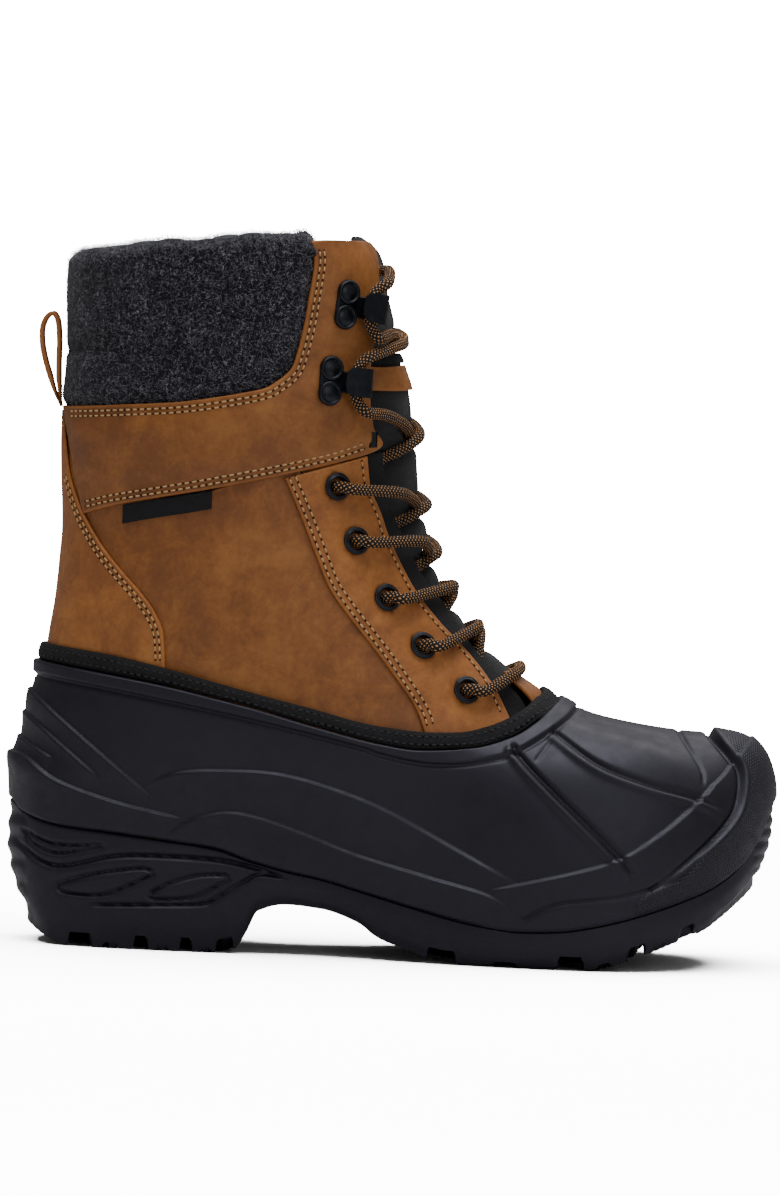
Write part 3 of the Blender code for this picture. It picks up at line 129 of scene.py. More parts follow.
SEAM = [(-44.7, 197.6), (-36.2, 179.0), (-29.9, 164.3), (-23.7, 150.7), (-15.1, 139.2),
        (-7.5, 130.2), (2.8, 117.6), (14.0, 101.9), (19.6, 86.0)]
EYESTAY_FRONT = [(-15.5, 206.4), (-13.6, 192.9), (-8.3, 180.6), (-5.5, 173.0), (5.5, 152.3),
                 (10.2, 146.0), (17.9, 137.3), (25.5, 129.9), (36.0, 118.4), (41.3, 111.0),
                 (48.2, 98.0)]
STRIP_FRONT = [(-8.0, 206.7), (-6.9, 192.4), (-1.3, 178.8), (9.7, 158.1), (17.4, 148.6),
               (23.2, 140.5), (29.4, 132.0), (37.0, 123.6), (46.0, 115.2), (52.4, 108.4),
               (57.0, 101.0)]
EYELETS = [(28.7, 111.0), (10.2, 128.4), (-5.3, 147.4), (-18.7, 170.1), (-27.2, 191.9)]
HOOK_BASES = [((-31.6, 240.0), (-32.3, 229.5)), ((-26.1, 270.9), (-27.6, 260.7))]
SPLIT = [(-160.0, 58.4), (-155.0, 57.0), (-151.5, 53.3), (-136.7, 49.0), (-115.0, 47.1),
         (-93.0, 44.9), (-71.4, 42.3), (-56.6, 37.6), (-42.2, 34.1), (-27.9, 31.5), (-9.4, 26.9),
         (12.8, 21.3), (34.5, 16.5), (53.7, 14.4), (70.0, 15.2), (82.0, 17.2), (96.0, 20.6),
         (110.9, 25.3), (122.0, 29.5), (132.1, 34.0), (142.8, 42.0), (150.0, 53.0),
         (154.5, 64.0), (158.0, 70.5)]
UNDERSIDE = [(-160.0, 15.0), (-148.0, 8.0), (-141.7, 4.0), (-134.0, 0.6), (-130.0, 0.0),
             (-70.0, 0.0), (-62.0, 1.5), (-57.2, 9.0), (-53.0, 17.5), (-41.7, 20.6),
             (-27.4, 19.5), (-12.6, 14.8), (-4.0, 9.0), (10.2, 4.0), (18.0, 1.0), (26.0, 0.0),
             (84.0, 0.0), (92.0, 2.0), (106.4, 7.0), (114.4, 10.4), (129.2, 16.6),
             (135.5, 21.0), (142.6, 26.5), (150.5, 33.0), (158.0, 42.0)]
FLOOR = [(-160.0, 25.0), (-100.0, 25.0), (-62.0, 26.0), (-50.0, 26.4), (-41.0, 26.0),
         (-12.0, 20.5), (13.0, 13.5), (34.0, 10.5), (53.0, 9.8), (90.0, 12.0), (110.0, 18.0),
         (132.0, 27.0), (150.0, 38.0), (160.0, 46.0)]
OUTLINE = [
    (-156.5, 0.0, 0.0, -144.7), (-153.5, 13.0, 13.0, -141.8), (-143.0, 26.0, 26.0, -132.0),
    (-124.0, 34.5, 34.0, -114.0), (-95.0, 38.5, 37.0, -88.0), (-60.0, 39.0, 35.5, -56.0),
    (-25.0, 41.0, 35.0, -26.0), (12.0, 47.0, 40.0, 4.0), (50.0, 53.5, 49.0, 28.0),
    (84.0, 54.5, 54.0, 43.0), (112.0, 48.0, 53.5, 52.0), (134.0, 35.0, 47.0, 58.5),
    (150.0, 15.0, 33.0, 63.2), (156.8, -8.0, 8.0, 65.0),
]
WALL_HEEL = [(0.0, 0.0), (0.05, 0.14), (0.33, 0.28), (0.42, 0.42), (0.60, 0.56),
             (1.02, 0.69), (1.02, 0.80), (1.01, 0.90), (1.0, 1.0)]
WALL_SIDE = [(0.0, 0.0), (0.0, 0.12), (0.06, 0.25), (0.18, 0.38), (0.36, 0.52),
             (0.60, 0.66), (0.84, 0.80), (0.96, 0.90), (1.0, 1.0)]
WALL_BALL = [(0.0, 0.0), (0.24, 0.07), (0.48, 0.16), (0.70, 0.28), (0.88, 0.42),
             (1.01, 0.58), (1.06, 0.74), (1.04, 0.88), (1.0, 1.0)]
WALL_TOE_SIDE = [(0.0, 0.0), (0.20, 0.05), (0.42, 0.10), (0.62, 0.17), (0.79, 0.29),
                 (0.92, 0.44), (1.0, 0.62), (1.02, 0.82), (1.0, 1.0)]
WALL_TOE = [(0.0, 0.0), (0.15, 0.15), (0.36, 0.245), (0.56, 0.30), (0.72, 0.32),
            (0.86, 0.37), (0.94, 0.52), (0.985, 0.76), (1.0, 1.0)]

# moulded relief of the shell in side view: line, step height, bevel width, fall-off, faded ends
STEPS = [
    ([(-152.0, 104.0), (-145.0, 99.2), (-102.8, 66.4), (-94.2, 59.3)], 1.0, 1.4, 12.0, 0, 1),
    ([(-152.0, 94.0), (-140.4, 85.9), (-117.9, 68.1)], 0.9, 1.8, 9.0, 0, 1),
    ([(-155.0, 84.0), (-150.2, 81.8), (-137.9, 75.4)], 0.9, 1.8, 7.0, 0, 1),
    ([(-162.0, 76.0), (-150.9, 76.0), (-138.6, 68.3), (-122.9, 62.8), (-107.1, 58.8),
      (-84.2, 54.4), (-80.0, 53.6)], 1.3, 2.2, 30.0, 0, 1),
    ([(-104.0, 66.0), (-102.4, 66.7), (-87.0, 73.4), (-66.4, 75.2), (-45.6, 74.6), (-24.7, 69.8),
      (-3.6, 62.2), (24.3, 48.2), (52.4, 33.9), (56.0, 31.6)], 1.2, 2.4, 26.0, 1, 1),
    ([(-96.0, 42.0), (-91.1, 46.8), (-82.1, 53.9), (-68.8, 58.0), (-55.3, 57.0), (-34.3, 50.6),
      (-13.3, 43.1), (17.1, 35.0), (41.2, 28.8), (55.0, 20.0)], 1.3, 2.6, 30.0, 1, 1),
    ([(36.0, 30.8), (41.1, 31.4), (52.4, 33.9), (89.3, 44.2), (109.5, 56.4), (124.6, 69.4),
      (130.0, 75.0)], 1.3, 1.8, 30.0, 1, 0),
]
RIM_LINE = [(-152.0, 109.6), (-144.4, 109.4), (-106.9, 104.7), (-56.9, 96.3), (-15.1, 87.6),
            (-5.6, 84.9), (10.0, 81.9), (25.6, 81.6), (40.0, 84.2), (49.1, 87.1), (60.0, 93.5),
            (70.0, 100.5), (74.0, 104.0)]
GROOVES = [
    ([(55.0, 20.0), (69.3, 26.8), (96.1, 31.0), (117.5, 39.1), (129.4, 52.0)], 1.0, 1.6, 0, 1),
    ([(48.8, 88.6), (60.0, 77.0), (94.3, 45.3), (97.8, 39.4), (98.5, 35.0)], 1.6, 2.0, 0, 1),
    ([(65.5, 95.5), (83.8, 83.5), (104.4, 76.2), (122.5, 71.4), (137.2, 64.9)], 1.5, 1.9, 0, 1),
    ([(57.0, 83.0), (65.5, 94.5)], 0.5, 1.2, 1, 1),
    ([(114.0, 101.0), (118.3, 94.1), (126.1, 81.9), (126.8, 74.7)], 1.0, 1.2, 0, 1),
]
RIBS = [
    ([(46.4, 86.8), (57.6, 75.2), (92.0, 43.6), (95.4, 37.6), (96.0, 33.0)], 1.0, 3.4, 0, 1),
    ([(64.0, 93.0), (82.8, 81.0), (103.6, 73.6), (121.6, 68.9), (135.8, 62.6)], 1.0, 3.2, 0, 1),
]
BUMPER = [(127.0, 104.0), (129.6, 96.7), (139.4, 85.7), (142.3, 78.5), (141.2, 67.9),
          (137.4, 60.6), (129.4, 52.0), (117.4, 41.2), (108.0, 34.0)]
SOLE_WAVE = [(-154.7, 42.6), (-143.5, 34.1), (-132.5, 32.5), (-114.6, 37.1), (-100.1, 38.4),
             (-71.2, 37.9), (-52.8, 34.9), (-44.0, 32.0)]
SOLE_ARCH = [(-40.0, 31.5), (-52.0, 32.8), (-59.9, 28.8), (-70.4, 21.9), (-77.6, 19.4),
             (-106.6, 17.9), (-124.6, 17.1)]
LEAVES = [
    [(-135.1, 25.1), (-121.5, 29.6), (-103.5, 32.9), (-97.8, 32.7), (-96.9, 30.7),
     (-106.9, 25.4), (-115.4, 21.9), (-124.8, 21.1), (-134.4, 22.2)],
    [(-96.3, 23.7), (-88.8, 27.6), (-78.1, 31.0), (-67.9, 31.8), (-65.7, 30.0), (-74.2, 24.6),
     (-81.3, 21.8), (-95.8, 20.9)],
    [(-150.0, 45.5), (-140.0, 41.5), (-129.0, 41.0), (-118.0, 41.6), (-126.0, 39.2),
     (-137.0, 37.6), (-146.0, 40.5)],
]
LUG_GAPS = [(-125.9, 4.9), (-100.3, 2.6), (-81.7, 2.2), (-65.8, 3.2), (22.2, 5.6), (75.0, 5.0),
            (102.0, 3.4), (122.5, 3.0)]
LUG_NICKS = [(-113.0, 3.0), (-91.5, 2.4), (-73.5, 2.0), (48.0, 4.6), (89.0, 2.6), (112.0, 2.4)]


# ---------------------------------------------------------------- small maths

def smooth_table(table, key, column=1):
    """Monotone cubic through rows sorted by their first entry, for arrays."""
    rows = np.asarray(table, float)
    xs = rows[:, 0]
    ys = rows[:, column]
    width = np.diff(xs)
    slope = np.diff(ys) / width
    tangent = np.empty(len(xs))
    tangent[0] = slope[0]
    tangent[-1] = slope[-1]
    product = slope[:-1] * slope[1:]
    total = slope[:-1] + slope[1:]
    tangent[1:-1] = np.where(product > 0, 2.0 * product / np.where(total == 0, 1.0, total), 0.0)
    key = np.asarray(key, float)
    i = np.clip(np.searchsorted(xs, key, side="left") - 1, 0, len(xs) - 2)
    s = np.clip((key - xs[i]) / width[i], 0.0, 1.0)
    s2 = s * s
    s3 = s2 * s
    return ((2 * s3 - 3 * s2 + 1) * ys[i] + (s3 - 2 * s2 + s) * width[i] * tangent[i]
            + (3 * s2 - 2 * s3) * ys[i + 1] + (s3 - s2) * width[i] * tangent[i + 1])


def curve_z(curve, x):
    """Height of a side-view curve at x."""
    return smooth_table(sorted(curve), x)


def curve_x(curve, z):
    """Place along the boot of a side-view curve at a height."""
    return smooth_table(sorted((p[1], p[0]) for p in curve), z)


def catmull(a, b, c, d, t):
    """Catmull-Rom curve between b and c."""
    return 0.5 * (2 * b + (c - a) * t + (2 * a - 5 * b + 4 * c - d) * t ** 2
                  + (3 * b - a - 3 * c + d) * t ** 3)


def catmull_line(points, per_span=12):
    """Fine points of an open Catmull-Rom curve."""
    p = np.asarray(points, float)
    p = np.vstack([p[0] * 2 - p[1], p, p[-1] * 2 - p[-2]])
    t = np.linspace(0.0, 1.0, per_span, endpoint=False)[:, None]
    parts = []
    for i in range(1, len(p) - 2):
        parts.append(catmull(p[i - 1], p[i], p[i + 1], p[i + 2], t))
    parts.append(p[-2][None, :])
    return np.vstack(parts)


def lengths(line):
    """Length along a line up to each of its points."""
    step = np.linalg.norm(np.diff(line, axis=0), axis=1)
    return np.concatenate([[0.0], np.cumsum(step)])


def even(points, count, per_span=12):
    """Points evenly spaced along a smooth curve."""
    line = catmull_line(points, per_span)
    s = lengths(line)
    goal = np.linspace(0.0, s[-1], count)
    return np.stack([np.interp(goal, s, line[:, i]) for i in range(line.shape[1])], axis=1)


def fractions(count, length, near=(0.0, 0.12, 0.35, 0.7, 1.2, 1.9)):
    """Shares 0 to 1 with extra ones close to both ends, for a rounded border."""
    first = [d / length for d in near if d < length * 0.3]
    last = [1.0 - f for f in reversed(first)]
    middle = list(np.linspace(first[-1], last[0], max(count - 2 * len(first), 2) + 2)[1:-1])
    return np.array(first + middle + last)


def off_zero(values):
    """The same values, a hair off zero, because the two sides meet there."""
    return np.where(np.abs(values) < 1e-6, 1e-4, values)


def fade(value, low, high):
    """Smooth step from 0 to 1 between two values."""
    t = np.clip((value - low) / (high - low), 0.0, 1.0)
    return t * t * (3 - 2 * t)


def ripple(p, scale, seed=0.0):
    """Cheap smooth noise from sines, about -1 to 1."""
    x, y, z = p[..., 0] / scale, p[..., 1] / scale, p[..., 2] / scale
    return (np.sin(1.7 * x + 2.1 * np.sin(0.9 * y + 1.3 * z + seed) + seed)
            + np.sin(1.9 * y + 1.7 * np.sin(1.1 * z - 0.8 * x + 2.0 * seed) + 1.3 * seed)
            + np.sin(2.3 * z + 1.9 * np.sin(0.7 * x + 1.2 * y - seed) + 2.1 * seed)) / 3.0


# ---------------------------------------------------------------- leather skin surface

def skin_point(u, z):
    """Point of the shaft's surface; u is 0 at the back, 1 or -1 at the front, above 0 medially."""
    u, z = np.broadcast_arrays(np.asarray(u, float), np.asarray(z, float))
    back = smooth_table(SHAFT, z, 1)
    front = smooth_table(SHAFT, z, 2)
    half = smooth_table(SHAFT, z, 3)
    turn = np.abs(u)
    x = back + (front - back) * (1.0 - np.cos(np.pi * turn)) * 0.5
    fullness = 1.0 + smooth_table(FRONT_SHAPE, z) * turn
    y = half * np.maximum(np.sin(np.pi * np.minimum(turn, 1.0)), 0.0) ** fullness
    return np.stack([x, np.where(u > 0, y, -y), z], axis=-1)


def skin_normal(u, z):
    """Outward unit normal of the shaft's surface, turned to face fore and aft at the ridges."""
    u, z = np.broadcast_arrays(np.asarray(u, float), np.asarray(z, float))
    turn = np.clip(np.abs(u), 0.004, 0.985)
    side = np.where(u > 0, 1.0, -1.0)
    ahead = skin_point(side * (turn + 0.004), z) - skin_point(side * (turn - 0.004), z)
    rise = skin_point(side * turn, z + 1.0) - skin_point(side * turn, z - 1.0)
    out = np.cross(ahead, rise) * -side[..., None]
    out /= np.linalg.norm(out, axis=-1, keepdims=True)
    share = np.where(np.abs(u) > 0.985, np.maximum(1.0 - np.abs(u), 0.0) / 0.015, 1.0)
    share = np.where(np.abs(u) < 0.004, np.abs(u) / 0.004, share)
    out[..., 1] *= share
    out /= np.linalg.norm(out, axis=-1, keepdims=True)
    return out


def skin(u, z, lift=0.0):
    """Point at a distance out from the shaft's surface."""
    return skin_point(u, z) + skin_normal(u, z) * np.asarray(lift, float)[..., None]


def u_at(x, z, side):
    """Turn round the shaft of the surface point at a side-view place."""
    back = smooth_table(SHAFT, z, 1)
    front = smooth_table(SHAFT, z, 2)
    share = np.clip((np.asarray(x, float) - back) / (front - back), 0.0, 1.0)
    return side * np.arccos(1.0 - 2.0 * share) / np.pi


# ---------------------------------------------------------------- mesh building

def make_object(name, verts, faces, material, uv=None, attributes=None, sharp=None):
    """Mesh object from millimetre points; uv holds one pair per vertex, in millimetres."""
    data = bpy.data.meshes.new(name)
    data.from_pydata((np.asarray(verts) * MM).tolist(), [], faces)
    data.update()
    if uv is not None:
        layer = data.uv_layers.new(name="flat")
        index = np.empty(len(data.loops), dtype=np.int32)
        data.loops.foreach_get("vertex_index", index)
        layer.data.foreach_set("uv", (np.asarray(uv, float)[index] * MM).ravel())
    for key, values in (attributes or {}).items():
        layer = data.attributes.new(key, "FLOAT", "POINT")
        layer.data.foreach_set("value", np.asarray(values, float).ravel())
    mesh = bmesh.new()
    mesh.from_mesh(data)
    bmesh.ops.recalc_face_normals(mesh, faces=mesh.faces)
    mesh.to_mesh(data)
    mesh.free()
    data.shade_smooth()
    if sharp is not None:
        data.set_sharp_from_angle(angle=sharp)
    thing = bpy.data.objects.new(name, data)
    bpy.context.scene.collection.objects.link(thing)
    for one in material if isinstance(material, (list, tuple)) else [material]:
        data.materials.append(one)
    return thing


def quads(rows, columns, closed=False, start=0, flip=False):
    """Faces of a grid of vertices numbered row by row."""
    spans = columns if closed else columns - 1
    r, c = np.meshgrid(np.arange(rows - 1), np.arange(spans), indexing="ij")
    d = (c + 1) % columns
    a = r * columns + c
    b = r * columns + d
    e = (r + 1) * columns + d
    f = (r + 1) * columns + c
    order = (a, f, e, b) if flip else (a, b, e, f)
    return (np.stack(order, axis=-1).reshape(-1, 4) + start).tolist()


def solid(name, outer, inner, material, closed=False, uv=None, attributes=None, sharp=None):
    """Closed solid between two point grids of the same size."""
    rows, columns = outer.shape[:2]
    count = rows * columns
    verts = np.concatenate([outer.reshape(-1, 3), inner.reshape(-1, 3)])
    faces = quads(rows, columns, closed) + quads(rows, columns, closed, count, True)
    spans = columns if closed else columns - 1
    for c in range(spans):
        d = (c + 1) % columns
        faces.append([d, c, count + c, count + d])
        k = (rows - 1) * columns
        faces.append([k + c, k + d, count + k + d, count + k + c])
    if not closed:
        for r in range(rows - 1):
            a = r * columns
            b = a + columns
            faces.append([b, a, count + a, count + b])
            faces.append([a + columns - 1, b + columns - 1, count + b + columns - 1,
                          count + a + columns - 1])
    if uv is not None:
        uv = np.concatenate([uv.reshape(-1, 2), uv.reshape(-1, 2)])
    doubled = {}
    for key, values in (attributes or {}).items():
        doubled[key] = np.concatenate([values.ravel(), values.ravel()])
    return make_object(name, verts, faces, material, uv, doubled, sharp)


def grid_arcs(points):
    """Arc length along rows and along columns of a point grid."""
    along = np.zeros(points.shape[:2])
    down = np.zeros(points.shape[:2])
    along[:, 1:] = np.cumsum(np.linalg.norm(np.diff(points, axis=1), axis=2), axis=1)
    down[1:, :] = np.cumsum(np.linalg.norm(np.diff(points, axis=0), axis=2), axis=0)
    return along, down


def border_distance(points, closed=False):
    """Distance of each grid point from the grid's border, and both arc lengths."""
    along, down = grid_arcs(points)
    distance = np.minimum(down, down[-1:, :] - down)
    if not closed:
        distance = np.minimum(distance, np.minimum(along, along[:, -1:] - along))
    return distance, along, down


def rounded(distance, radius):
    """Drop of a rounded border at a distance from it."""
    t = np.clip(1.0 - distance / radius, 0.0, 1.0)
    return radius * (1.0 - np.sqrt(np.maximum(1.0 - t * t, 0.0)))


def panel(name, grid_u, grid_z, low, high, material, bulge=0.0, radius=0.7, wave=0.25, seed=0.0,
          extra=None):
    """Leather panel on the skin surface with rolled borders, puffed by its padding."""
    flat = skin(grid_u, grid_z, np.full(grid_u.shape, high))
    distance, along, down = border_distance(flat)
    lift = high - rounded(distance, radius)
    lift = lift + bulge * fade(distance, 1.0, 14.0)
    lift = lift + wave * ripple(flat, 17.0, seed) * fade(distance, 1.5, 9.0)
    if extra is not None:
        lift = lift + extra(flat, distance)
    outer = skin(grid_u, grid_z, lift)
    inner = skin(grid_u, grid_z, np.full(grid_u.shape, low))
    return solid(name, outer, inner, material, uv=np.stack([along, down], axis=-1),
                 attributes={"edge": distance})


def settle(thing, body, slot_name, *nodes):
    """Body and replaced nodes of a piece; slot_name is not used."""
    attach(thing, body)
    if nodes:
        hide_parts(*nodes)
    return thing


# ---------------------------------------------------------------- sole and shell

def loop_value(k, side, column):
    """Outline value at knot positions on one side, smooth round the closed loop."""
    rows = np.asarray(OUTLINE, float)
    last = len(rows) - 1
    k = np.asarray(k, float)
    side = np.asarray(side)

    def knot(i):
        s = np.where(i < 0, -side, side)
        i = np.abs(i)
        s = np.where(i > last, -s, s)
        i = np.where(i > last, 2 * last - i, i)
        if column in (0, 3):
            return rows[i, column]
        return np.where(s < 0, -rows[i, 1], rows[i, 2])

    base = np.minimum(np.floor(k).astype(int), last - 1)
    t = k - base
    return catmull(knot(base - 1), knot(base), knot(base + 1), knot(base + 2), t)


def make_ring(half_count):
    """(knots, sides) of evenly spaced columns round the sole, heel, lateral, toe, medial."""
    last = float(len(OUTLINE) - 1)
    fine = np.linspace(0.0, last, 4000)
    rings = []
    for side in (-1, 1):
        line = np.stack([loop_value(fine, np.full(4000, side), 0),
                         loop_value(fine, np.full(4000, side), 1)], axis=1)
        s = lengths(line)
        rings.append(np.interp(np.linspace(0.0, s[-1], half_count + 1), s, fine))
    knots = np.concatenate([rings[0], rings[1][::-1][1:-1]])
    sides = np.concatenate([np.full(half_count + 1, -1), np.full(half_count - 1, 1)])
    return knots, sides


def wall_shares(k):
    """Share out and share down of the wall's profile at knots, blended from heel to toe."""
    stops = [(0.0, WALL_HEEL), (2.0, WALL_HEEL), (4.5, WALL_SIDE), (6.5, WALL_SIDE),
             (8.5, WALL_BALL), (10.5, WALL_TOE_SIDE), (13.0, WALL_TOE)]
    places = np.array([s[0] for s in stops])
    tables = np.array([s[1] for s in stops])
    i = np.clip(np.searchsorted(places, k, side="left") - 1, 0, len(stops) - 2)
    t = np.clip((k - places[i]) / (places[i + 1] - places[i]), 0.0, 1.0)
    t = (t * t * (3 - 2 * t))[:, None, None]
    return (tables[i] * (1 - t) + tables[i + 1] * t).transpose(1, 0, 2)


def opening(knots, sides, lift, raise_by=0.0):
    """Loop round the shell's opening, under the binding."""
    x = np.clip(loop_value(knots, sides, 3), BIND_BOTTOM[0][0], BIND_BOTTOM[-1][0])
    z = curve_z(BIND_BOTTOM, x) + raise_by
    return skin(u_at(x, z, sides), z, np.full(len(knots), lift))


def split_line(knots, sides):
    """Loop where the shell meets the outsole."""
    x = loop_value(knots, sides, 0)
    return np.stack([x, loop_value(knots, sides, 1), curve_z(SPLIT, x)], axis=-1)


def inward_of(loop):
    """Horizontal unit vectors that point into a loop."""
    along = np.roll(loop, -1, axis=0) - np.roll(loop, 1, axis=0)
    inward = np.stack([-along[:, 1], along[:, 0], np.zeros(len(loop))], axis=-1)
    inward /= np.linalg.norm(inward, axis=1, keepdims=True)
    middle = np.stack([np.clip(loop[:, 0], -110.0, 105.0), np.full(len(loop), 3.0),
                       loop[:, 2]], axis=-1)
    wrong = np.einsum("ij,ij->i", inward, middle - loop) < 0
    inward[wrong] *= -1
    return inward


def wall_grid(knots, sides, rows, lift=SHELL_WALL + GAP + 0.5):
    """Fine rows of the shell wall, opening down to the split line."""
    top = opening(knots, sides, lift)
    foot = split_line(knots, sides)
    shares = wall_shares(knots)
    p = np.concatenate([shares[:1] * 2 - shares[1:2], shares, shares[-1:] * 2 - shares[-2:-1]])
    position = np.linspace(0.0, 8.0, rows)
    base = np.minimum(position.astype(int), 7)
    t = (position - base)[:, None, None]
    fine = catmull(p[base], p[base + 1], p[base + 2], p[base + 3], t)
    out = fine[..., 0:1]
    down = fine[..., 1:2]
    plan = top[None, :, :2] + (foot - top)[None, :, :2] * out
    height = top[None, :, 2:] + (foot - top)[None, :, 2:] * down
    return np.concatenate([plan, height], axis=-1)


def grid_normals(points, middle):
    """Outward unit normals of a grid closed along its columns."""
    around = np.roll(points, -1, axis=1) - np.roll(points, 1, axis=1)
    down = np.gradient(points, axis=0)
    normal = np.cross(around, down)
    normal /= np.maximum(np.linalg.norm(normal, axis=-1, keepdims=True), 1e-9)
    inner = np.stack([np.clip(points[..., 0], -110.0, 60.0),
                      np.full(points.shape[:2], 3.0), np.full(points.shape[:2], middle)], axis=-1)
    facing = np.einsum("ijk,ijk->ij", normal, points - inner)
    normal[facing < 0] *= -1
    return normal


def line_distance(points, x, z, per_span=10):
    """Distance from a side-view line, above 0 to its right-hand side, and share along it."""
    line = catmull_line(points, per_span)
    s = lengths(line)
    best = np.full(x.shape, 1e9)
    side = np.ones(x.shape)
    along = np.zeros(x.shape)
    for i in range(len(line) - 1):
        a = line[i]
        d = line[i + 1] - a
        size = max(float(d @ d), 1e-9)
        t = np.clip(((x - a[0]) * d[0] + (z - a[1]) * d[1]) / size, 0.0, 1.0)
        gap = np.hypot(x - a[0] - t * d[0], z - a[1] - t * d[1])
        nearer = gap < best
        best = np.where(nearer, gap, best)
        cross = d[0] * (z - a[1]) - d[1] * (x - a[0])
        side = np.where(nearer, np.where(cross > 0, -1.0, 1.0), side)
        along = np.where(nearer, (s[i] + t * (s[i + 1] - s[i])) / s[-1], along)
    return best * side, along


def ends(along, fade_start, fade_end, room=0.16):
    """Share that fades a relief line out at the ends that are marked."""
    share = np.ones(along.shape)
    if fade_start:
        share = share * fade(along, 0.0, room)
    if fade_end:
        share = share * fade(1.0 - along, 0.0, room)
    return share


def shell_relief(x, z):
    """Height of the moulded relief over the shell's smooth wall, and the bumper's share."""
    lift = np.zeros(x.shape)
    for line, height, width, reach, first, last in STEPS:
        d, along = line_distance(line, x, z)
        rise = fade(d, -width * 0.28, width * 0.28)
        lift += 1.5 * height * rise * np.exp(-np.maximum(d, 0.0) / reach) * ends(along, first, last)
    for line, depth, width, first, last in GROOVES:
        d, along = line_distance(line, x, z)
        lift -= 1.05 * depth * np.exp(-(d / (width * 0.55)) ** 2) * ends(along, first, last)
    for line, height, width, first, last in RIBS:
        d, along = line_distance(line, x, z)
        lift += 1.25 * height * np.exp(-(d / (width * 0.5)) ** 2) * ends(along, first, last)
    d = line_distance(RIM_LINE, x, z)[0]
    lift += 1.1 * (1.0 - fade(d, -0.7, 0.6)) - 0.7 * np.exp(-((d - 0.9) / 0.9) ** 2)
    d, along = line_distance(BUMPER, x, z)
    lower = fade(along, 0.55, 1.0)
    bumper = fade(-d, -0.7, 0.7) * (x > 100.0)
    lift += 2.5 * bumper * (1.0 - 0.6 * lower) * np.exp(-np.maximum(-d, 0.0) / 40.0)
    lift -= 1.8 * np.exp(-((d - 1.0) / 1.0) ** 2) * (x > 100.0) * (1.0 - 0.6 * lower)
    return lift, bumper * fade(-d, 1.0, 2.2)


def fan(ring_start, count, centre, flip):
    """Triangles from a ring of vertices to one centre vertex."""
    faces = []
    for c in range(count):
        d = (c + 1) % count
        faces.append([ring_start + d, ring_start + c, centre] if flip
                     else [ring_start + c, ring_start + d, centre])
    return faces


def across_ring(start, count):
    """Faces across a ring that starts at the heel, from its lateral to its medial side."""
    half = count // 2
    faces = [[start, start + 1, start + count - 1]]
    for i in range(1, half - 1):
        faces.append([start + i, start + i + 1, start + count - i - 1, start + count - i])
    faces.append([start + half - 1, start + half, start + half + 1])
    return faces


def build_shell(material):
    """Moulded rubber lower: relief outside, smooth wall and floor inside."""
    half = 420
    rows = 140
    knots, sides = make_ring(half)
    wall = wall_grid(knots, sides, rows)
    normal = grid_normals(wall, WALL_MIDDLE)
    lift, bumper = shell_relief(wall[..., 0], wall[..., 2])
    depth = np.linspace(0.0, 1.0, rows)[:, None]
    lift = lift * fade(1.0 - depth, 0.0, 0.03)
    lift = lift + 0.12 * ripple(wall, 23.0, 0.4)
    lift = lift - rounded(np.linspace(0.0, 70.0, rows), 1.0)[:, None]
    outer = wall + normal * lift[..., None]
    outer[0] = wall[0] - normal[0] * 0.9
    top = opening(knots, sides, 1.0)
    split = split_line(knots, sides)
    inward = inward_of(split)
    raised = split + [0.0, 0.0, GAP]
    step = raised + inward * 2.5
    coarse = wall_grid(knots, sides, 12)
    inside = coarse - grid_normals(coarse, WALL_MIDDLE) * SHELL_WALL
    inside = inside[1:10]
    under = split + inward * 3.6
    under[:, 2] = smooth_table(FLOOR, under[:, 0])
    floor = split + inward * 6.6
    floor[:, 2] = smooth_table(FLOOR, floor[:, 0]) + SHELL_WALL
    loops = np.concatenate([under[None], step[None], raised[None], outer[::-1][1:], top[None],
                            inside, floor[None]])
    count = len(knots)
    faces = quads(len(loops), count, True)
    faces += across_ring(0, count)
    faces += across_ring((len(loops) - 1) * count, count)
    along, down = grid_arcs(loops)
    along = np.broadcast_to(along[len(loops) // 2][None], along.shape)
    uv = np.stack([along, down - down[1]], axis=-1).reshape(-1, 2)
    grid = np.zeros(loops.shape[:2])
    grid[3:rows + 2] = bumper[::-1][1:]
    return make_object("rubber_shell_moulded", loops.reshape(-1, 3), faces, material, uv,
                       {"grid": grid})


def in_gap(x, table, soft=0.5):
    """1 inside the gaps of a (centre, half width) table, 0 outside."""
    share = np.zeros(np.shape(x))
    for centre, half in table:
        share = np.maximum(share, 1.0 - fade(np.abs(x - centre), half - soft, half + soft))
    return share


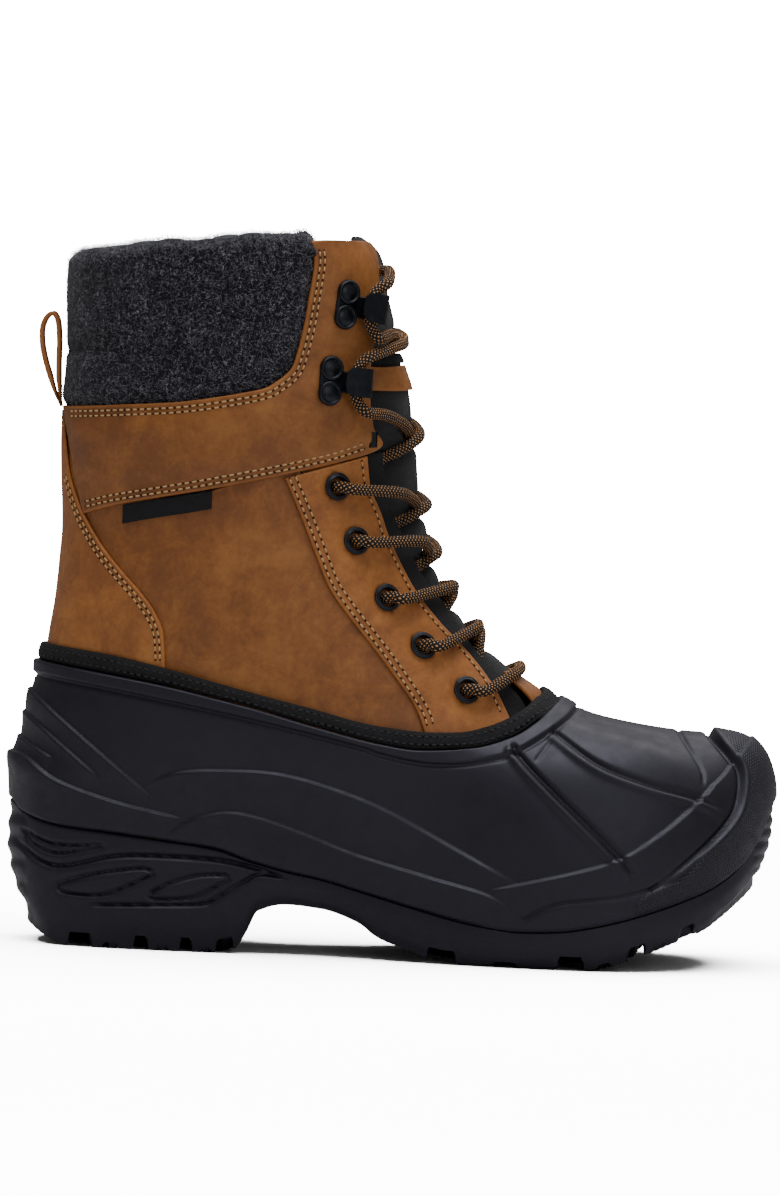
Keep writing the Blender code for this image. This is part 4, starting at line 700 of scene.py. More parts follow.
def outsole_wall(knots, split, inward, rows):
    """Side of the sole, from the split line down to the ground or the lug gaps."""
    heel = np.maximum(0.0, 1.0 - knots / 2.2)
    toe = np.maximum(0.0, (knots - 11.0) / 2.0)
    draw = np.stack([np.zeros(len(knots)), -0.2 - 0.6 * heel, 0.6 + 1.6 * heel + 0.6 * toe,
                     3.0 + 7.5 * heel + 4.0 * toe])
    share = np.linspace(0.0, 1.0, rows)
    stops = [0.0, 0.35, 0.72, 1.0]
    inset = np.stack([smooth_table(list(zip(stops, draw[:, c])), share)
                      for c in range(len(knots))], axis=1)
    low = smooth_table(UNDERSIDE, split[:, 0])
    arch = fade(split[:, 0], -62.0, -58.0) * (1.0 - fade(split[:, 0], -6.0, -2.0))
    raised = LUG_DEPTH * np.maximum(in_gap(split[:, 0], LUG_GAPS),
                                    0.36 * in_gap(split[:, 0], LUG_NICKS)) * (1.0 - arch)
    height = split[None, :, 2] - (split[:, 2] - low)[None, :] * share[:, None]
    side = np.stack([np.broadcast_to(split[None, :, 0], height.shape),
                     np.broadcast_to(split[None, :, 1], height.shape), height], axis=-1)
    x = side[..., 0]
    z = side[..., 2]
    out = -inset
    for line, depth, width in ((SOLE_WAVE, 1.7, 1.7), (SOLE_ARCH, 1.5, 1.5)):
        d, along = line_distance(line, x, z)
        out = out - depth * np.exp(-(d / (width * 0.6)) ** 2) * ends(along, 1, 1, 0.08)
    for leaf in LEAVES:
        d = line_distance(leaf + [leaf[0]], x, z)[0]
        out = out - 1.4 * np.exp(-(d / 0.85) ** 2)
    heel_bumps = fade(-x, 148.0, 151.0)
    out = out + 0.5 * heel_bumps * np.sin(z * 2 * np.pi / 9.0)
    toe_bumps = fade(x, 148.0, 152.0) * fade(z, 36.0, 41.0)
    out = out + 0.7 * toe_bumps * np.abs(np.sin(z * np.pi / 5.2))
    out = out - rounded(share * 30.0, 0.8)[:, None]
    side = side - inward[None] * out[..., None]
    side[..., 2] = np.maximum(side[..., 2], (low + raised)[None, :])
    return side


def tread_rungs(lateral, medial, across):
    """Underside as rungs between two edges: lugs with a channel, cross cuts and nicks."""
    s = np.linspace(0.0, 1.0, across + 1)[1:-1]
    rung = lateral[:, None, :] * (1 - s)[None, :, None] + medial[:, None, :] * s[None, :, None]
    rx = rung[..., 0]
    ground = smooth_table(UNDERSIDE, rx)
    edge = np.minimum(s, 1.0 - s)[None, :] + 0.0 * rx
    tread = 1.0 - fade(rx, -62.0, -58.0) * (1.0 - fade(rx, -6.0, -2.0))
    channel = fade(edge, 0.27, 0.285) * (1.0 - fade(edge, 0.325, 0.34))
    bars = in_gap(rx, LUG_GAPS[:1] + LUG_GAPS[2:3] + LUG_GAPS[4:6] + [(49.0, 3.0), (-101.0, 2.6)])
    bars = bars * (1.0 - fade(edge, 0.27, 0.29))
    zig = in_gap(rx + 16.0 * np.abs(s - 0.5)[None, :] - 6.0, [(104.0, 2.4), (36.0, 2.2),
                                                              (62.0, 2.2), (-114.0, 2.0)])
    nick = in_gap(rx, LUG_GAPS[1:2] + LUG_GAPS[3:4] + LUG_GAPS[6:]) * (1.0 - fade(edge, 0.1, 0.12))
    cut = np.maximum(np.maximum(channel, bars), np.maximum(zig, nick)) * tread
    ridges = 0.7 * (1.0 - tread) * np.abs(np.sin(rx * np.pi / 6.0))
    rung[..., 2] = ground + LUG_DEPTH * cut + ridges + 0.25 * tread * (1.0 - cut) * (
        np.sin(rx * np.pi / 2.4) ** 8)
    return rung


def build_outsole(material):
    """Outsole: lugged underside, side wall, and a floor under the shell."""
    half = 400
    knots, sides = make_ring(half)
    split = split_line(knots, sides)
    inward = inward_of(split)
    side = outsole_wall(knots, split, inward, 76)
    count = len(knots)
    rim = split + inward * 2.2
    foot = split + inward * 3.2
    foot[:, 2] = smooth_table(FLOOR, foot[:, 0]) - GAP
    loops = np.concatenate([foot[None], rim[None], side])
    verts = loops.reshape(-1, 3)
    faces = quads(len(loops), count, True)
    faces += across_ring(0, count)
    across = 72
    base = len(verts)
    last = (len(loops) - 1) * count
    rung = tread_rungs(loops[-1][1:half], loops[-1][::-1][:half - 1], across)
    verts = np.vstack([verts, rung.reshape(-1, 3)])
    n = half - 1
    m = across - 1
    faces += quads(n, m, False, base, True)
    for r in range(n - 1):
        faces.append([last + 1 + r, last + 2 + r, base + (r + 1) * m, base + r * m])
        faces.append([last + (count - 1 - r), base + r * m + m - 1, base + (r + 1) * m + m - 1,
                      last + (count - 2 - r)])
    for c in range(m - 1):
        faces.append([last, base + c, base + c + 1])
        faces.append([last + half, base + (n - 1) * m + c + 1, base + (n - 1) * m + c])
    faces.append([last, last + 1, base])
    faces.append([last, base + m - 1, last + count - 1])
    faces.append([last + half, base + (n - 1) * m, last + half - 1])
    faces.append([last + half, last + half + 1, base + (n - 1) * m + m - 1])
    return make_object("outsole_lugged", verts, faces, material, sharp=1.0)


# ---------------------------------------------------------------- stitching

def shifted(line, side, offset):
    """(u, z) of a side-view line moved sideways on the skin by an offset."""
    fine = catmull_line(line, 8)
    u = u_at(fine[:, 0], fine[:, 1], side)
    place = skin_point(u, fine[:, 1])
    normal = skin_normal(u, fine[:, 1])
    way = np.gradient(place, axis=0)
    across = np.cross(normal, way) * side
    across /= np.maximum(np.linalg.norm(across, axis=1, keepdims=True), 1e-9)
    moved = place + across * offset
    return u_at(moved[:, 0], moved[:, 2], side), moved[:, 2]


def capsule(start, end, out, radius, around=6):
    """Points and faces of one stitch, sunk at both ends."""
    way = end - start
    size = np.linalg.norm(way)
    way = way / size
    cross = np.cross(way, out)
    cross /= np.linalg.norm(cross)
    up = np.cross(cross, way)
    spots = [(-0.10, 0.35, -0.75), (0.06, 0.85, -0.15), (0.30, 1.0, 0.30), (0.5, 1.04, 0.42),
             (0.70, 1.0, 0.30), (0.94, 0.85, -0.15), (1.10, 0.35, -0.75)]
    points = []
    for share, thick, rise in spots:
        centre = start + way * size * share + up * radius * rise
        for i in range(around):
            a = 2 * math.pi * i / around
            points.append(centre + (cross * math.cos(a) + up * math.sin(a) * 0.8)
                          * radius * thick)
    faces = []
    for r in range(len(spots) - 1):
        for i in range(around):
            j = (i + 1) % around
            faces.append([r * around + i, r * around + j, (r + 1) * around + j,
                          (r + 1) * around + i])
    faces.append(list(range(around)))
    faces.append([(len(spots) - 1) * around + i for i in reversed(range(around))])
    return points, faces


class Stitches:
    """Rows of stitches gathered in one mesh, threads and the holes they enter, each hole a small
    dark disc of painted shade.
    """

    def __init__(self, pitch=3.1, radius=0.36, share=0.64):
        self.pitch = pitch
        self.radius = radius
        self.share = share
        self.verts = []
        self.faces = []
        self.holes = []
        self.thread_faces = 0

    def row(self, points, normals, start=0.0, end=None):
        points = np.asarray(points)
        normals = np.asarray(normals)
        s = lengths(points)
        end = s[-1] if end is None else end
        count = max(int((end - start) / self.pitch), 1)
        pitch = (end - start) / count
        for i in range(count):
            a = start + pitch * i
            b = a + pitch * self.share
            p = np.array([np.interp(a, s, points[:, k]) for k in range(3)])
            q = np.array([np.interp(b, s, points[:, k]) for k in range(3)])
            middle = (a + b) / 2
            n = np.array([np.interp(middle, s, normals[:, k]) for k in range(3)])
            n /= np.linalg.norm(n)
            spots, faces = capsule(p, q, n, self.radius)
            base = len(self.verts)
            self.verts += spots
            self.faces += [[base + k for k in face] for face in faces]
            self.holes.append((p - (q - p) * 0.12, n))
            self.holes.append((q + (q - p) * 0.12, n))

    def skin_row(self, u, z, lift):
        self.row(skin(u, z, np.full(np.shape(u), float(lift))), skin_normal(u, z))

    def build(self, name, thread, hole_shade):
        self.thread_faces = len(self.faces)
        # each hole is a small dark disc on the surface, its colour painted shade standing in for
        # the hole's depth
        for place, n in self.holes:
            side = np.cross(n, [0.3, 0.5, 0.8])
            side /= np.linalg.norm(side)
            other = np.cross(n, side)
            base = len(self.verts)
            size = self.radius * 1.35
            for i in range(6):
                a = math.pi * i / 3
                self.verts.append(place + n * 0.03 + (side * math.cos(a) + other * math.sin(a))
                                  * size)
            self.verts.append(place - n * 0.3)
            self.faces += [[base + i, base + (i + 1) % 6, base + 6] for i in range(6)]
            self.faces.append([base + i for i in reversed(range(6))])
        thing = make_object(name, self.verts, self.faces, [thread, hole_shade])
        index = np.zeros(len(self.faces), dtype=np.int32)
        index[self.thread_faces:] = 1
        thing.data.polygons.foreach_set("material_index", index)
        return thing


# ---------------------------------------------------------------- leather panels

def tucked(x, extra=0.0):
    """Height of the leather's hidden lower edge."""
    return curve_z(BIND_BOTTOM, x) - LEATHER_TUCK + extra


def build_counter(leather):
    """Heel counter, one panel round the back."""
    t = fractions(64, 110.0)
    high = 218.0 + (108.0 - 218.0) * t
    edge_x = curve_x(COUNTER_EDGE, np.maximum(high, 109.0))
    edge = np.abs(u_at(edge_x, high, 1))
    s = fractions(110, 80.0) * 2.0 - 1.0
    u = edge[:, None] * s[None, :]
    u = np.where(np.abs(u) < 1e-6, 1e-6, u)
    z = np.broadcast_to(high[:, None], u.shape)
    return panel("heel_counter_leather", u, z, OVER_IN + 0.4, OVER_OUT, leather, 0.1, 0.8, 0.3,
                 1.0)


def quarter_grid(side, rows, columns):
    """(u, z) grid of a side panel, from the back to its seam."""
    t = fractions(rows, 110.0)
    s = fractions(columns, 140.0)
    bottom_x = -144.0 + (18.6 + 144.0) * s
    bottom_z = tucked(bottom_x)
    top_z = 214.0 + (203.0 - 214.0) * s - 24.0 * np.sin(np.pi * s) ** 1.2
    z = bottom_z[None, :] + (top_z - bottom_z)[None, :] * t[:, None]
    limit = curve_x(SEAM, np.clip(z, 80.0, 197.5)) + 2.5
    u = 0.0025 + (np.abs(u_at(limit, z, 1)) - 0.0025) * s[None, :]
    return u * side, z


def leather_creases(flat, distance):
    """Soft folds where the ankle bends."""
    x = flat[..., 0]
    z = flat[..., 2]
    fold = np.exp(-((z - 132.0 - 0.30 * (x + 40.0)) / 9.0) ** 2)
    fold -= 0.7 * np.exp(-((z - 121.0 - 0.22 * (x + 50.0)) / 6.0) ** 2)
    return 0.35 * fold * np.exp(-((x + 30.0) / 45.0) ** 2) * fade(distance, 2.0, 12.0)


def build_quarter(side, name, leather):
    """Side panel."""
    u, z = quarter_grid(side, 84, 120)
    return panel(name, u, z, BASE_IN, BASE_OUT, leather, 0.25, 0.5, 0.28, 2.0 + side,
                 leather_creases)


def build_eyestay(side, name, leather):
    """Facing with the eyelets, dented round each of them."""
    t = fractions(92, 125.0)
    z = 80.8 + (197.0 - 80.8) * t
    x = curve_x(SEAM, z) - EYESTAY_WIDER
    rear = np.stack([x, np.minimum(z, curve_z(CUFF_BOTTOM, x) - 1.5)], axis=-1)
    zf = 90.0 + (206.0 - 90.0) * t
    xf = curve_x(EYESTAY_FRONT, zf)
    front = np.stack([xf, np.minimum(zf, curve_z(CUFF_BOTTOM, xf) - 1.5)], axis=-1)
    c = fractions(52, 34.0)
    grid = rear[:, None] + (front - rear)[:, None] * c[None, :, None]
    u = u_at(grid[..., 0], grid[..., 1], side)

    def dents(flat, distance):
        dip = np.zeros(distance.shape)
        for ex, ez in EYELETS:
            spot = skin_point(u_at(ex, ez, side), np.asarray(float(ez)))
            gap = np.linalg.norm(flat - spot, axis=-1)
            dip -= 0.45 * np.exp(-((gap - 6.2) / 1.6) ** 2) * (gap > 2.0)
            dip -= 2.2 * (gap < 4.6)
        return dip

    return panel(name, u, grid[..., 1], BASE_OUT + 0.1, OVER_OUT, leather, 0.12, 0.8, 0.22,
                 4.0 + side, dents)


def build_strip(side, name, material):
    """Narrow black facing in front of the eyelets."""
    t = fractions(80, 120.0)
    z = 92.0 + (205.6 - 92.0) * t
    x = curve_x(EYESTAY_FRONT, z) + 0.5
    zf = 99.0 + (205.9 - 99.0) * t
    xf = curve_x(STRIP_FRONT, np.maximum(zf, 101.0))
    z = np.minimum(z, curve_z(CUFF_BOTTOM, x) - 0.5)
    zf = np.minimum(zf, 205.9)
    c = fractions(14, 8.0)
    gx = x[:, None] + (xf - x)[:, None] * c[None, :]
    gz = z[:, None] + (zf - z)[:, None] * c[None, :]
    return panel(name, u_at(gx, gz, side), gz, BASE_IN, BASE_OUT + 0.4, material, 0.0, 0.8, 0.1)


def cuff_grid(side, rows, columns):
    """(u, z) grid of a cuff, between its outer and its collar-side edge."""
    outer = even(CUFF_BOTTOM[:-1] + CUFF_FRONT[:-1], 400)
    inner = even(CUFF_INNER, 400)
    c = fractions(columns, 190.0)
    place = np.linspace(0.0, 1.0, 400)
    a = np.stack([np.interp(c, place, outer[:, k]) for k in (0, 1)], axis=-1)
    b = np.stack([np.interp(c, place, inner[:, k]) for k in (0, 1)], axis=-1)
    t = fractions(rows, 40.0)
    grid = a[None] + (b - a)[None] * t[:, None, None]
    x = grid[..., 0]
    z = grid[..., 1]
    limit = curve_x(COUNTER_EDGE, z) + 0.5
    x = np.where((z < 219.0) & (x < -100.0), np.maximum(x, limit), x)
    z = np.minimum(z, 292.0)
    return u_at(x, z, side), z


def build_cuff(side, name, leather):
    """Padded cuff."""
    u, z = cuff_grid(side, 48, 170)
    return panel(name, u, z, OVER_IN + 0.2, OVER_OUT, leather, 0.9, 0.9, 0.35, 6.0 + side)


def stitch_leather(side, word, thread, hole_shade):
    """Every tan stitch row on one side of the boot."""
    rows = Stitches()
    for offset in (1.9, 3.8):
        u, z = shifted(COUNTER_EDGE[2:-1] + [(-94.6, 118.0)], side, offset)
        rows.skin_row(u, z, OVER_OUT + 0.22)
    for offset in (-1.7, -4.3):
        line = [(x - EYESTAY_WIDER, z) for x, z in SEAM[:-1]] + [(11.6, 95.4)]
        line[0] = (-48.2, 193.6)
        u, z = shifted(line, side, offset)
        rows.skin_row(u, z, OVER_OUT + 0.20)
    line = [(x, z) for x, z in EYESTAY_FRONT[:-1]] + [(45.6, 102.6)]
    line[0] = (-15.4, 203.0)
    u, z = shifted(line, side, 3.1)
    rows.skin_row(u, z, OVER_OUT + 0.16)
    for offset in (-2.0, -4.1):
        line = [(-129.0, 177.4)] + CUFF_BOTTOM[1:-1] + [(-16.0, 205.8)]
        u, z = shifted(line, side, offset)
        rows.skin_row(u, z, OVER_OUT + 0.30)
    for offset in (2.2, 4.2):
        line = [(-137.5, 219.9)] + CUFF_INNER[1:-1] + [(-40.6, 288.0)]
        u, z = shifted(line, side, offset)
        rows.skin_row(u, z, OVER_OUT + 0.35)
    return rows.build("stitching_" + word, thread, hole_shade)


def build_bartack(side, word, thread, hole_shade):
    """Dense black tack at the lower front corner of the cuff."""
    rows = Stitches(2.6, 0.34, 0.86)
    for number in range(10):
        z = np.linspace(208.4 + number * 0.62, 208.5 + number * 0.62, 5)
        x = np.linspace(-14.6, -12.2, 5)
        rows.skin_row(u_at(x, z, side), z, OVER_OUT + 0.25)
    return rows.build("bartack_" + word, thread, hole_shade)


# ---------------------------------------------------------------- binding

BINDING_ROWS = np.array([0.0, 0.03, 0.09, 0.18, 0.32, 0.45, 0.6, 0.75, 0.86, 0.94, 0.98, 1.0])


def build_binding(material):
    """Ribbon round the shell's opening, and the (u, z) grid that it lies on."""
    xs = np.concatenate([np.linspace(-144.5, -130.0, 26), np.linspace(-129.0, 40.0, 150),
                         np.linspace(41.0, 57.0, 30)])
    path = [(x, -1) for x in xs[::-1]] + [(x, 1) for x in xs[1:]]
    x = np.array([p[0] for p in path])
    side = np.array([p[1] for p in path])
    low = curve_z(BIND_BOTTOM, x) + 0.3
    high = curve_z(BIND_TOP, x) + 0.3
    z = low[None, :] + (high - low)[None, :] * BINDING_ROWS[:, None]
    u = u_at(np.broadcast_to(x, z.shape), z, np.broadcast_to(side, z.shape))
    # round the front of the opening, from the last columns to the ridge
    t = np.linspace(0.0, 1.0, 19)[1:]
    ridge = 104.9 + (110.6 - 104.9) * BINDING_ROWS
    ahead = np.abs(u[:, :1]) + (0.9995 - np.abs(u[:, :1])) * t[None, :] ** 0.9
    ahead_z = z[:, :1] + (ridge[:, None] - z[:, :1]) * t[None, :]
    u = np.concatenate([-ahead[:, ::-1], u, ahead], axis=1)
    z = np.concatenate([ahead_z[:, ::-1], z, ahead_z], axis=1)
    lift = smooth_table([(0.0, 3.0), (0.5, 3.2), (1.0, 2.2)], BINDING_ROWS)[:, None] + 0.0 * z
    flat = skin(u, z, lift)
    along, down = grid_arcs(flat)
    edge = np.minimum(down, down[-1:] - down)
    lift = lift - rounded(edge, 1.0)
    lift = lift + 0.18 * np.sin(along * 2 * np.pi / 2.9) * fade(edge, 0.2, 2.0)
    lift = lift + 0.12 * ripple(flat, 6.0, 3.0)
    outer = skin(u, z, lift)
    inner = skin(u, z, np.full(z.shape, 0.5))
    return solid("binding_ribbon", outer, inner, material,
                 uv=np.stack([along, down], axis=-1)), u, z


def stitch_binding(u, z, thread, hole_shade):
    """Two rows of stitches along the ribbon."""
    rows = Stitches(3.1, 0.36, 0.66)
    for share, lift in ((0.26, 3.1), (0.70, 2.85)):
        k = int(np.searchsorted(BINDING_ROWS, share))
        t = (share - BINDING_ROWS[k - 1]) / (BINDING_ROWS[k] - BINDING_ROWS[k - 1])
        uu = u[k - 1] + (u[k] - u[k - 1]) * t
        zz = z[k - 1] + (z[k] - z[k - 1]) * t
        rows.skin_row(uu, zz, lift)
    return rows.build("stitching_binding", thread, hole_shade)


# ---------------------------------------------------------------- wool collar and linings

COLLAR_EDGE = [(-141.9, 215.4), (-116.0, 217.4), (-88.6, 220.1), (-59.4, 225.9), (-51.0, 230.0),
               (-44.6, 235.8), (-41.5, 243.5), (-38.9, 254.8), (-37.2, 267.3), (-35.6, 281.5)]


def collar_low(x):
    """Height of the collar's lower edge."""
    return curve_z(COLLAR_EDGE, x) + 0.5


def collar_path(count):
    """Side-view x and side of the columns from the lateral front round to the medial front."""
    t = np.linspace(0.0, 1.0, count)
    xs = -141.95 + (-36.2 + 141.95) * (1.0 - np.cos(t * np.pi * 0.5))
    x = np.concatenate([xs[::-1], xs[1:]])
    side = np.concatenate([np.full(count, -1), np.full(count - 1, 1)])
    return x, side


def collar_surface(columns, rows):
    """Closed cross-sections of the collar: up the outside, over the top, down the inside."""
    x, side = collar_path(columns)
    low = collar_low(x) + 0.2
    top = 285.0 + (x + 140.0) * 0.105 - 1.5 * fade(-x, 128.0, 141.0)
    top = top + 0.7 * np.sin(x / 6.3 + side) + 0.4 * np.sin(x / 2.7 - side)
    top = top - 7.5 * fade(x, -43.0, -37.5)
    share = []
    depth = []
    for i in range(rows):
        share.append(i / (rows - 1.0) * 0.97)
        depth.append(0.0)
    for angle in np.linspace(0.0, math.pi, 9)[1:-1]:
        share.append(0.97 + 0.03 * math.sin(angle))
        depth.append((1.0 - math.cos(angle)) / 2)
    for i in range(rows // 2):
        share.append(0.97 * (1.0 - i / (rows // 2 - 1.0)))
        depth.append(1.0)
    share = np.array(share)[:, None]
    depth = np.array(depth)[:, None]
    z = low[None, :] + (top - low)[None, :] * share
    place = np.broadcast_to(x, z.shape)
    back = smooth_table(SHAFT, z, 1)
    place = np.where(place > -141.5, np.maximum(place, back + 0.3), back + 0.001)
    u = u_at(place, z, np.broadcast_to(side, z.shape))
    swell = np.sin(np.pi * np.clip(share * 1.02, 0.0, 1.0)) ** 0.5
    d = line_distance(CUFF_INNER[:-1], place, z)[0]
    free = fade(-d, -0.6, 4.2)
    outside = -2.1 + 2.4 * free - 3.0 * fade(share, 0.93, 1.0) * free
    inside = -8.3 + 0.8 * swell + 0.4 * fade(share, 0.93, 1.0)
    lift = outside * (1.0 - depth) + inside * depth
    return skin(u, z, lift), z, depth + 0.0 * z, share + 0.0 * z


def build_collar(material):
    """Wool collar, puffed by a short cloth simulation."""
    columns = 96
    rows = 34
    points, z, depth, share = collar_surface(columns, rows)
    total = points.shape[1]
    loops = points.shape[0]
    x = points[..., 0]
    seam_z = 242.6 + (x + 142.0) * 0.034
    seam = np.exp(-((z - seam_z) / 1.3) ** 2) * (1.0 - fade(x, -92.0, -84.0)) * (depth < 0.01)
    middle = np.stack([np.full(x.shape, -95.0), np.zeros(x.shape), z], axis=-1)
    inward = middle - points
    inward /= np.linalg.norm(inward, axis=-1, keepdims=True)
    points = points + inward * (seam * 1.3)[..., None]
    verts = points.reshape(-1, 3)
    faces = []
    for r in range(loops):
        n = (r + 1) % loops
        for c in range(total - 1):
            faces.append([r * total + c, r * total + c + 1, n * total + c + 1, n * total + c])
    faces.append([r * total for r in range(loops)][::-1])
    faces.append([r * total + total - 1 for r in range(loops)])
    thing = make_object("wool_collar_quilted", verts, faces, material)
    pin = np.zeros(points.shape[:2])
    pin[share < 0.03] = 1.0
    pin[depth > 0.75] = 1.0
    pin[:, :2] = 1.0
    pin[:, -2:] = 1.0
    pin = np.maximum(pin, (seam > 0.72) * 1.0)
    puff_cloth(thing, pin.ravel())
    return thing


def puff_cloth(thing, flat):
    """Short cloth simulation with pressure inside, held where the pin weights are above 0."""
    group = thing.vertex_groups.new(name="pinned")
    for i in np.nonzero(flat > 0)[0]:
        group.add([int(i)], float(flat[i]), "REPLACE")
    cloth = thing.modifiers.new("padding", "CLOTH")
    settings = cloth.settings
    settings.quality = 6
    settings.mass = 0.25
    settings.tension_stiffness = 18.0
    settings.compression_stiffness = 12.0
    settings.shear_stiffness = 6.0
    settings.bending_stiffness = 0.6
    settings.air_damping = 4.0
    settings.vertex_group_mass = "pinned"
    settings.shrink_min = -0.035
    settings.use_pressure = True
    settings.uniform_pressure_force = 1.6
    settings.effector_weights.gravity = 0.1
    cloth.collision_settings.use_collision = False
    cloth.point_cache.frame_start = 1
    cloth.point_cache.frame_end = CLOTH_FRAMES
    scene = bpy.context.scene
    for number in range(1, CLOTH_FRAMES + 1):
        scene.frame_set(number)
    graph = bpy.context.evaluated_depsgraph_get()
    result = bpy.data.meshes.new_from_object(thing.evaluated_get(graph))
    thing.modifiers.clear()
    old = thing.data
    thing.data = result
    bpy.data.meshes.remove(old)
    scene.frame_set(1)


def build_fuzz(collar, material):
    """Short loose fibres that stand off the wool's surface."""
    rng = np.random.default_rng(7)
    data = collar.data
    count = 18000
    data.calc_loop_triangles()
    tris = np.array([t.vertices[:] for t in data.loop_triangles])
    place = np.array([v.co[:] for v in data.vertices])
    normals = np.array([v.normal[:] for v in data.vertices])
    a, b, c = place[tris[:, 0]], place[tris[:, 1]], place[tris[:, 2]]
    area = np.linalg.norm(np.cross(b - a, c - a), axis=1)
    middle = (a + b + c) / 3.0 * 1000.0
    crest = fade(middle[:, 2] - 0.105 * middle[:, 0], 292.0, 300.0)
    area = area * (1.0 + 4.0 * crest)
    chosen = rng.choice(len(tris), count, p=area / area.sum())
    w = rng.random((count, 2))
    w = np.where(w.sum(axis=1, keepdims=True) > 1.0, 1.0 - w, w)
    spot = a[chosen] + (b - a)[chosen] * w[:, :1] + (c - a)[chosen] * w[:, 1:]
    out = normals[tris[chosen, 0]]
    crest = crest[chosen]
    way = rng.normal(size=(count, 3))
    way -= out * np.einsum("ij,ij->i", way, out)[:, None]
    way /= np.linalg.norm(way, axis=1, keepdims=True)
    size = rng.uniform(0.0014, 0.0034, count)[:, None]
    rise = (rng.uniform(0.0002, 0.0010, count) * (1.0 + 1.2 * crest))[:, None]
    side = np.cross(out, way)
    bend = rng.normal(0.0, 0.45, count)[:, None]
    points = [spot - out * 0.0001,
              spot + way * size * 0.33 + out * rise * 0.8 + side * bend * size * 0.12,
              spot + way * size * 0.66 + out * rise + side * bend * size * 0.34,
              spot + way * size + out * rise * 0.55 + side * bend * size * 0.62]
    thick = rng.uniform(0.00005, 0.00008, count)[:, None]
    verts = []
    for p, share in zip(points, (1.0, 0.9, 0.7, 0.2)):
        for k in range(3):
            angle = 2 * math.pi * k / 3
            verts.append(p + (side * math.cos(angle) + out * math.sin(angle)) * thick * share)
    verts = np.stack(verts, axis=1)
    faces = []
    for r in range(3):
        for k in range(3):
            j = (k + 1) % 3
            faces.append([r * 3 + k, r * 3 + j, (r + 1) * 3 + j, (r + 1) * 3 + k])
    faces = np.array(faces)[None] + (np.arange(count) * 12)[:, None, None]
    made = bpy.data.meshes.new("wool_fibres")
    made.from_pydata(verts.reshape(-1, 3).tolist(), [], faces.reshape(-1, 4).tolist())
    made.shade_smooth()
    made.materials.append(material)
    thing = bpy.data.objects.new("wool_fibres", made)
    bpy.context.scene.collection.objects.link(thing)
    return thing


def build_shaft_lining(material):
    """Felt inside the shaft, open at the front."""
    stations = np.concatenate([np.linspace(-141.9, -128.0, 14), np.linspace(-126.0, -60.0, 40),
                               np.linspace(-58.5, -42.0, 20)])
    x = np.concatenate([stations[::-1], stations[1:]])
    side = np.concatenate([np.full(74, -1), np.full(73, 1)])
    share = (x + 141.9) / (-42.0 + 141.9)
    high = np.minimum(collar_low(x) - 2.6, 284.0)
    low = tucked(-143.0 + 173.0 * share, 1.0)
    t = np.linspace(0.0, 1.0, 60)[:, None]
    z = low[None] + (high - low)[None] * t
    front_x = np.where(z > 206.0, -40.0, curve_x(EYESTAY_FRONT, np.maximum(z, 98.0)) - 24.0)
    back = smooth_table(SHAFT, z, 1)
    spread = back + (front_x - back) * share
    weight = np.clip((z - 150.0) / 60.0, 0.0, 1.0)
    place = spread + (x[None] - spread) * weight
    place = np.where(share < 1e-6, back + 0.001, place)
    u = u_at(place, z, np.broadcast_to(side, z.shape))
    flat = skin(u, z, np.full(z.shape, BASE_IN - 5.3))
    distance = border_distance(flat)[0]
    inner_lift = BASE_IN - 1.3 - LINING + rounded(distance, 1.6) + 0.25 * ripple(flat, 11.0, 2.0)
    outer = skin(u, z, np.full(z.shape, BASE_IN - 1.3))
    inner = skin(u, z, inner_lift)
    return solid("shaft_lining_felt", outer, inner, material)


def build_foot_lining(material):
    """Insulating felt inside the rubber lower."""
    knots, sides = make_ring(110)
    wall = wall_grid(knots, sides, 40)
    normal = grid_normals(wall, WALL_MIDDLE)
    split = split_line(knots, sides)
    inward = inward_of(split)
    keep = slice(8, 35)
    outer = (wall - normal * (SHELL_WALL + 1.2))[keep]
    inner = (wall - normal * (SHELL_WALL + 1.2 + LINING))[keep]
    inner = inner + normal[keep] * (0.2 * ripple(inner, 9.0, 1.0))[..., None]
    base = SHELL_WALL + 1.3 + 2.2 + 0.6
    foot = split + inward * 8.2
    foot[:, 2] = smooth_table(FLOOR, foot[:, 0]) + base
    sole = split + inward * 12.4
    sole[:, 2] = smooth_table(FLOOR, sole[:, 0]) + base + LINING
    loops = np.concatenate([foot[None], outer[::-1], inner, sole[None]])
    count = len(knots)
    faces = quads(len(loops), count, True)
    faces += across_ring(0, count)
    faces += across_ring((len(loops) - 1) * count, count)
    return make_object("foot_lining_felt", loops.reshape(-1, 3), faces, material)


def build_bed(name, material, inset, base, thick, crown):
    """Plate that follows the sole's floor, with a rolled border and a light crown."""
    half = 90
    knots, sides = make_ring(half)
    split = split_line(knots, sides)
    edge = split + inward_of(split) * inset
    s = np.linspace(0.0, 1.0, 31)
    a = edge[1:half]
    b = edge[::-1][:half - 1]
    grid = a[:, None, :] * (1 - s)[None, :, None] + b[:, None, :] * s[None, :, None]
    rim = np.minimum(s, 1.0 - s)[None, :] * 60.0 + 0.0 * grid[..., 0]
    floor = smooth_table(FLOOR, grid[..., 0]) + base
    heel = np.exp(-((grid[..., 0] + 110.0) / 35.0) ** 2)
    cup = crown * heel * (np.abs(s - 0.5)[None, :] * 2.0) ** 2
    top = grid.copy()
    top[..., 2] = floor + thick - rounded(rim, 1.2) + cup
    low = grid.copy()
    low[..., 2] = floor
    return solid(name, top, low, material)


# ---------------------------------------------------------------- tongue

def throat_half(z):
    """Half the width of the opening over the tongue."""
    z = np.asarray(z, float)
    upper = curve_x(CUFF_FRONT[:8], np.minimum(z, 278.0))
    lower = curve_x(STRIP_FRONT, np.maximum(z, 101.0))
    x = np.where(z > 206.0, upper, lower)
    return np.abs(skin_point(u_at(x, z, 1), z)[..., 1])


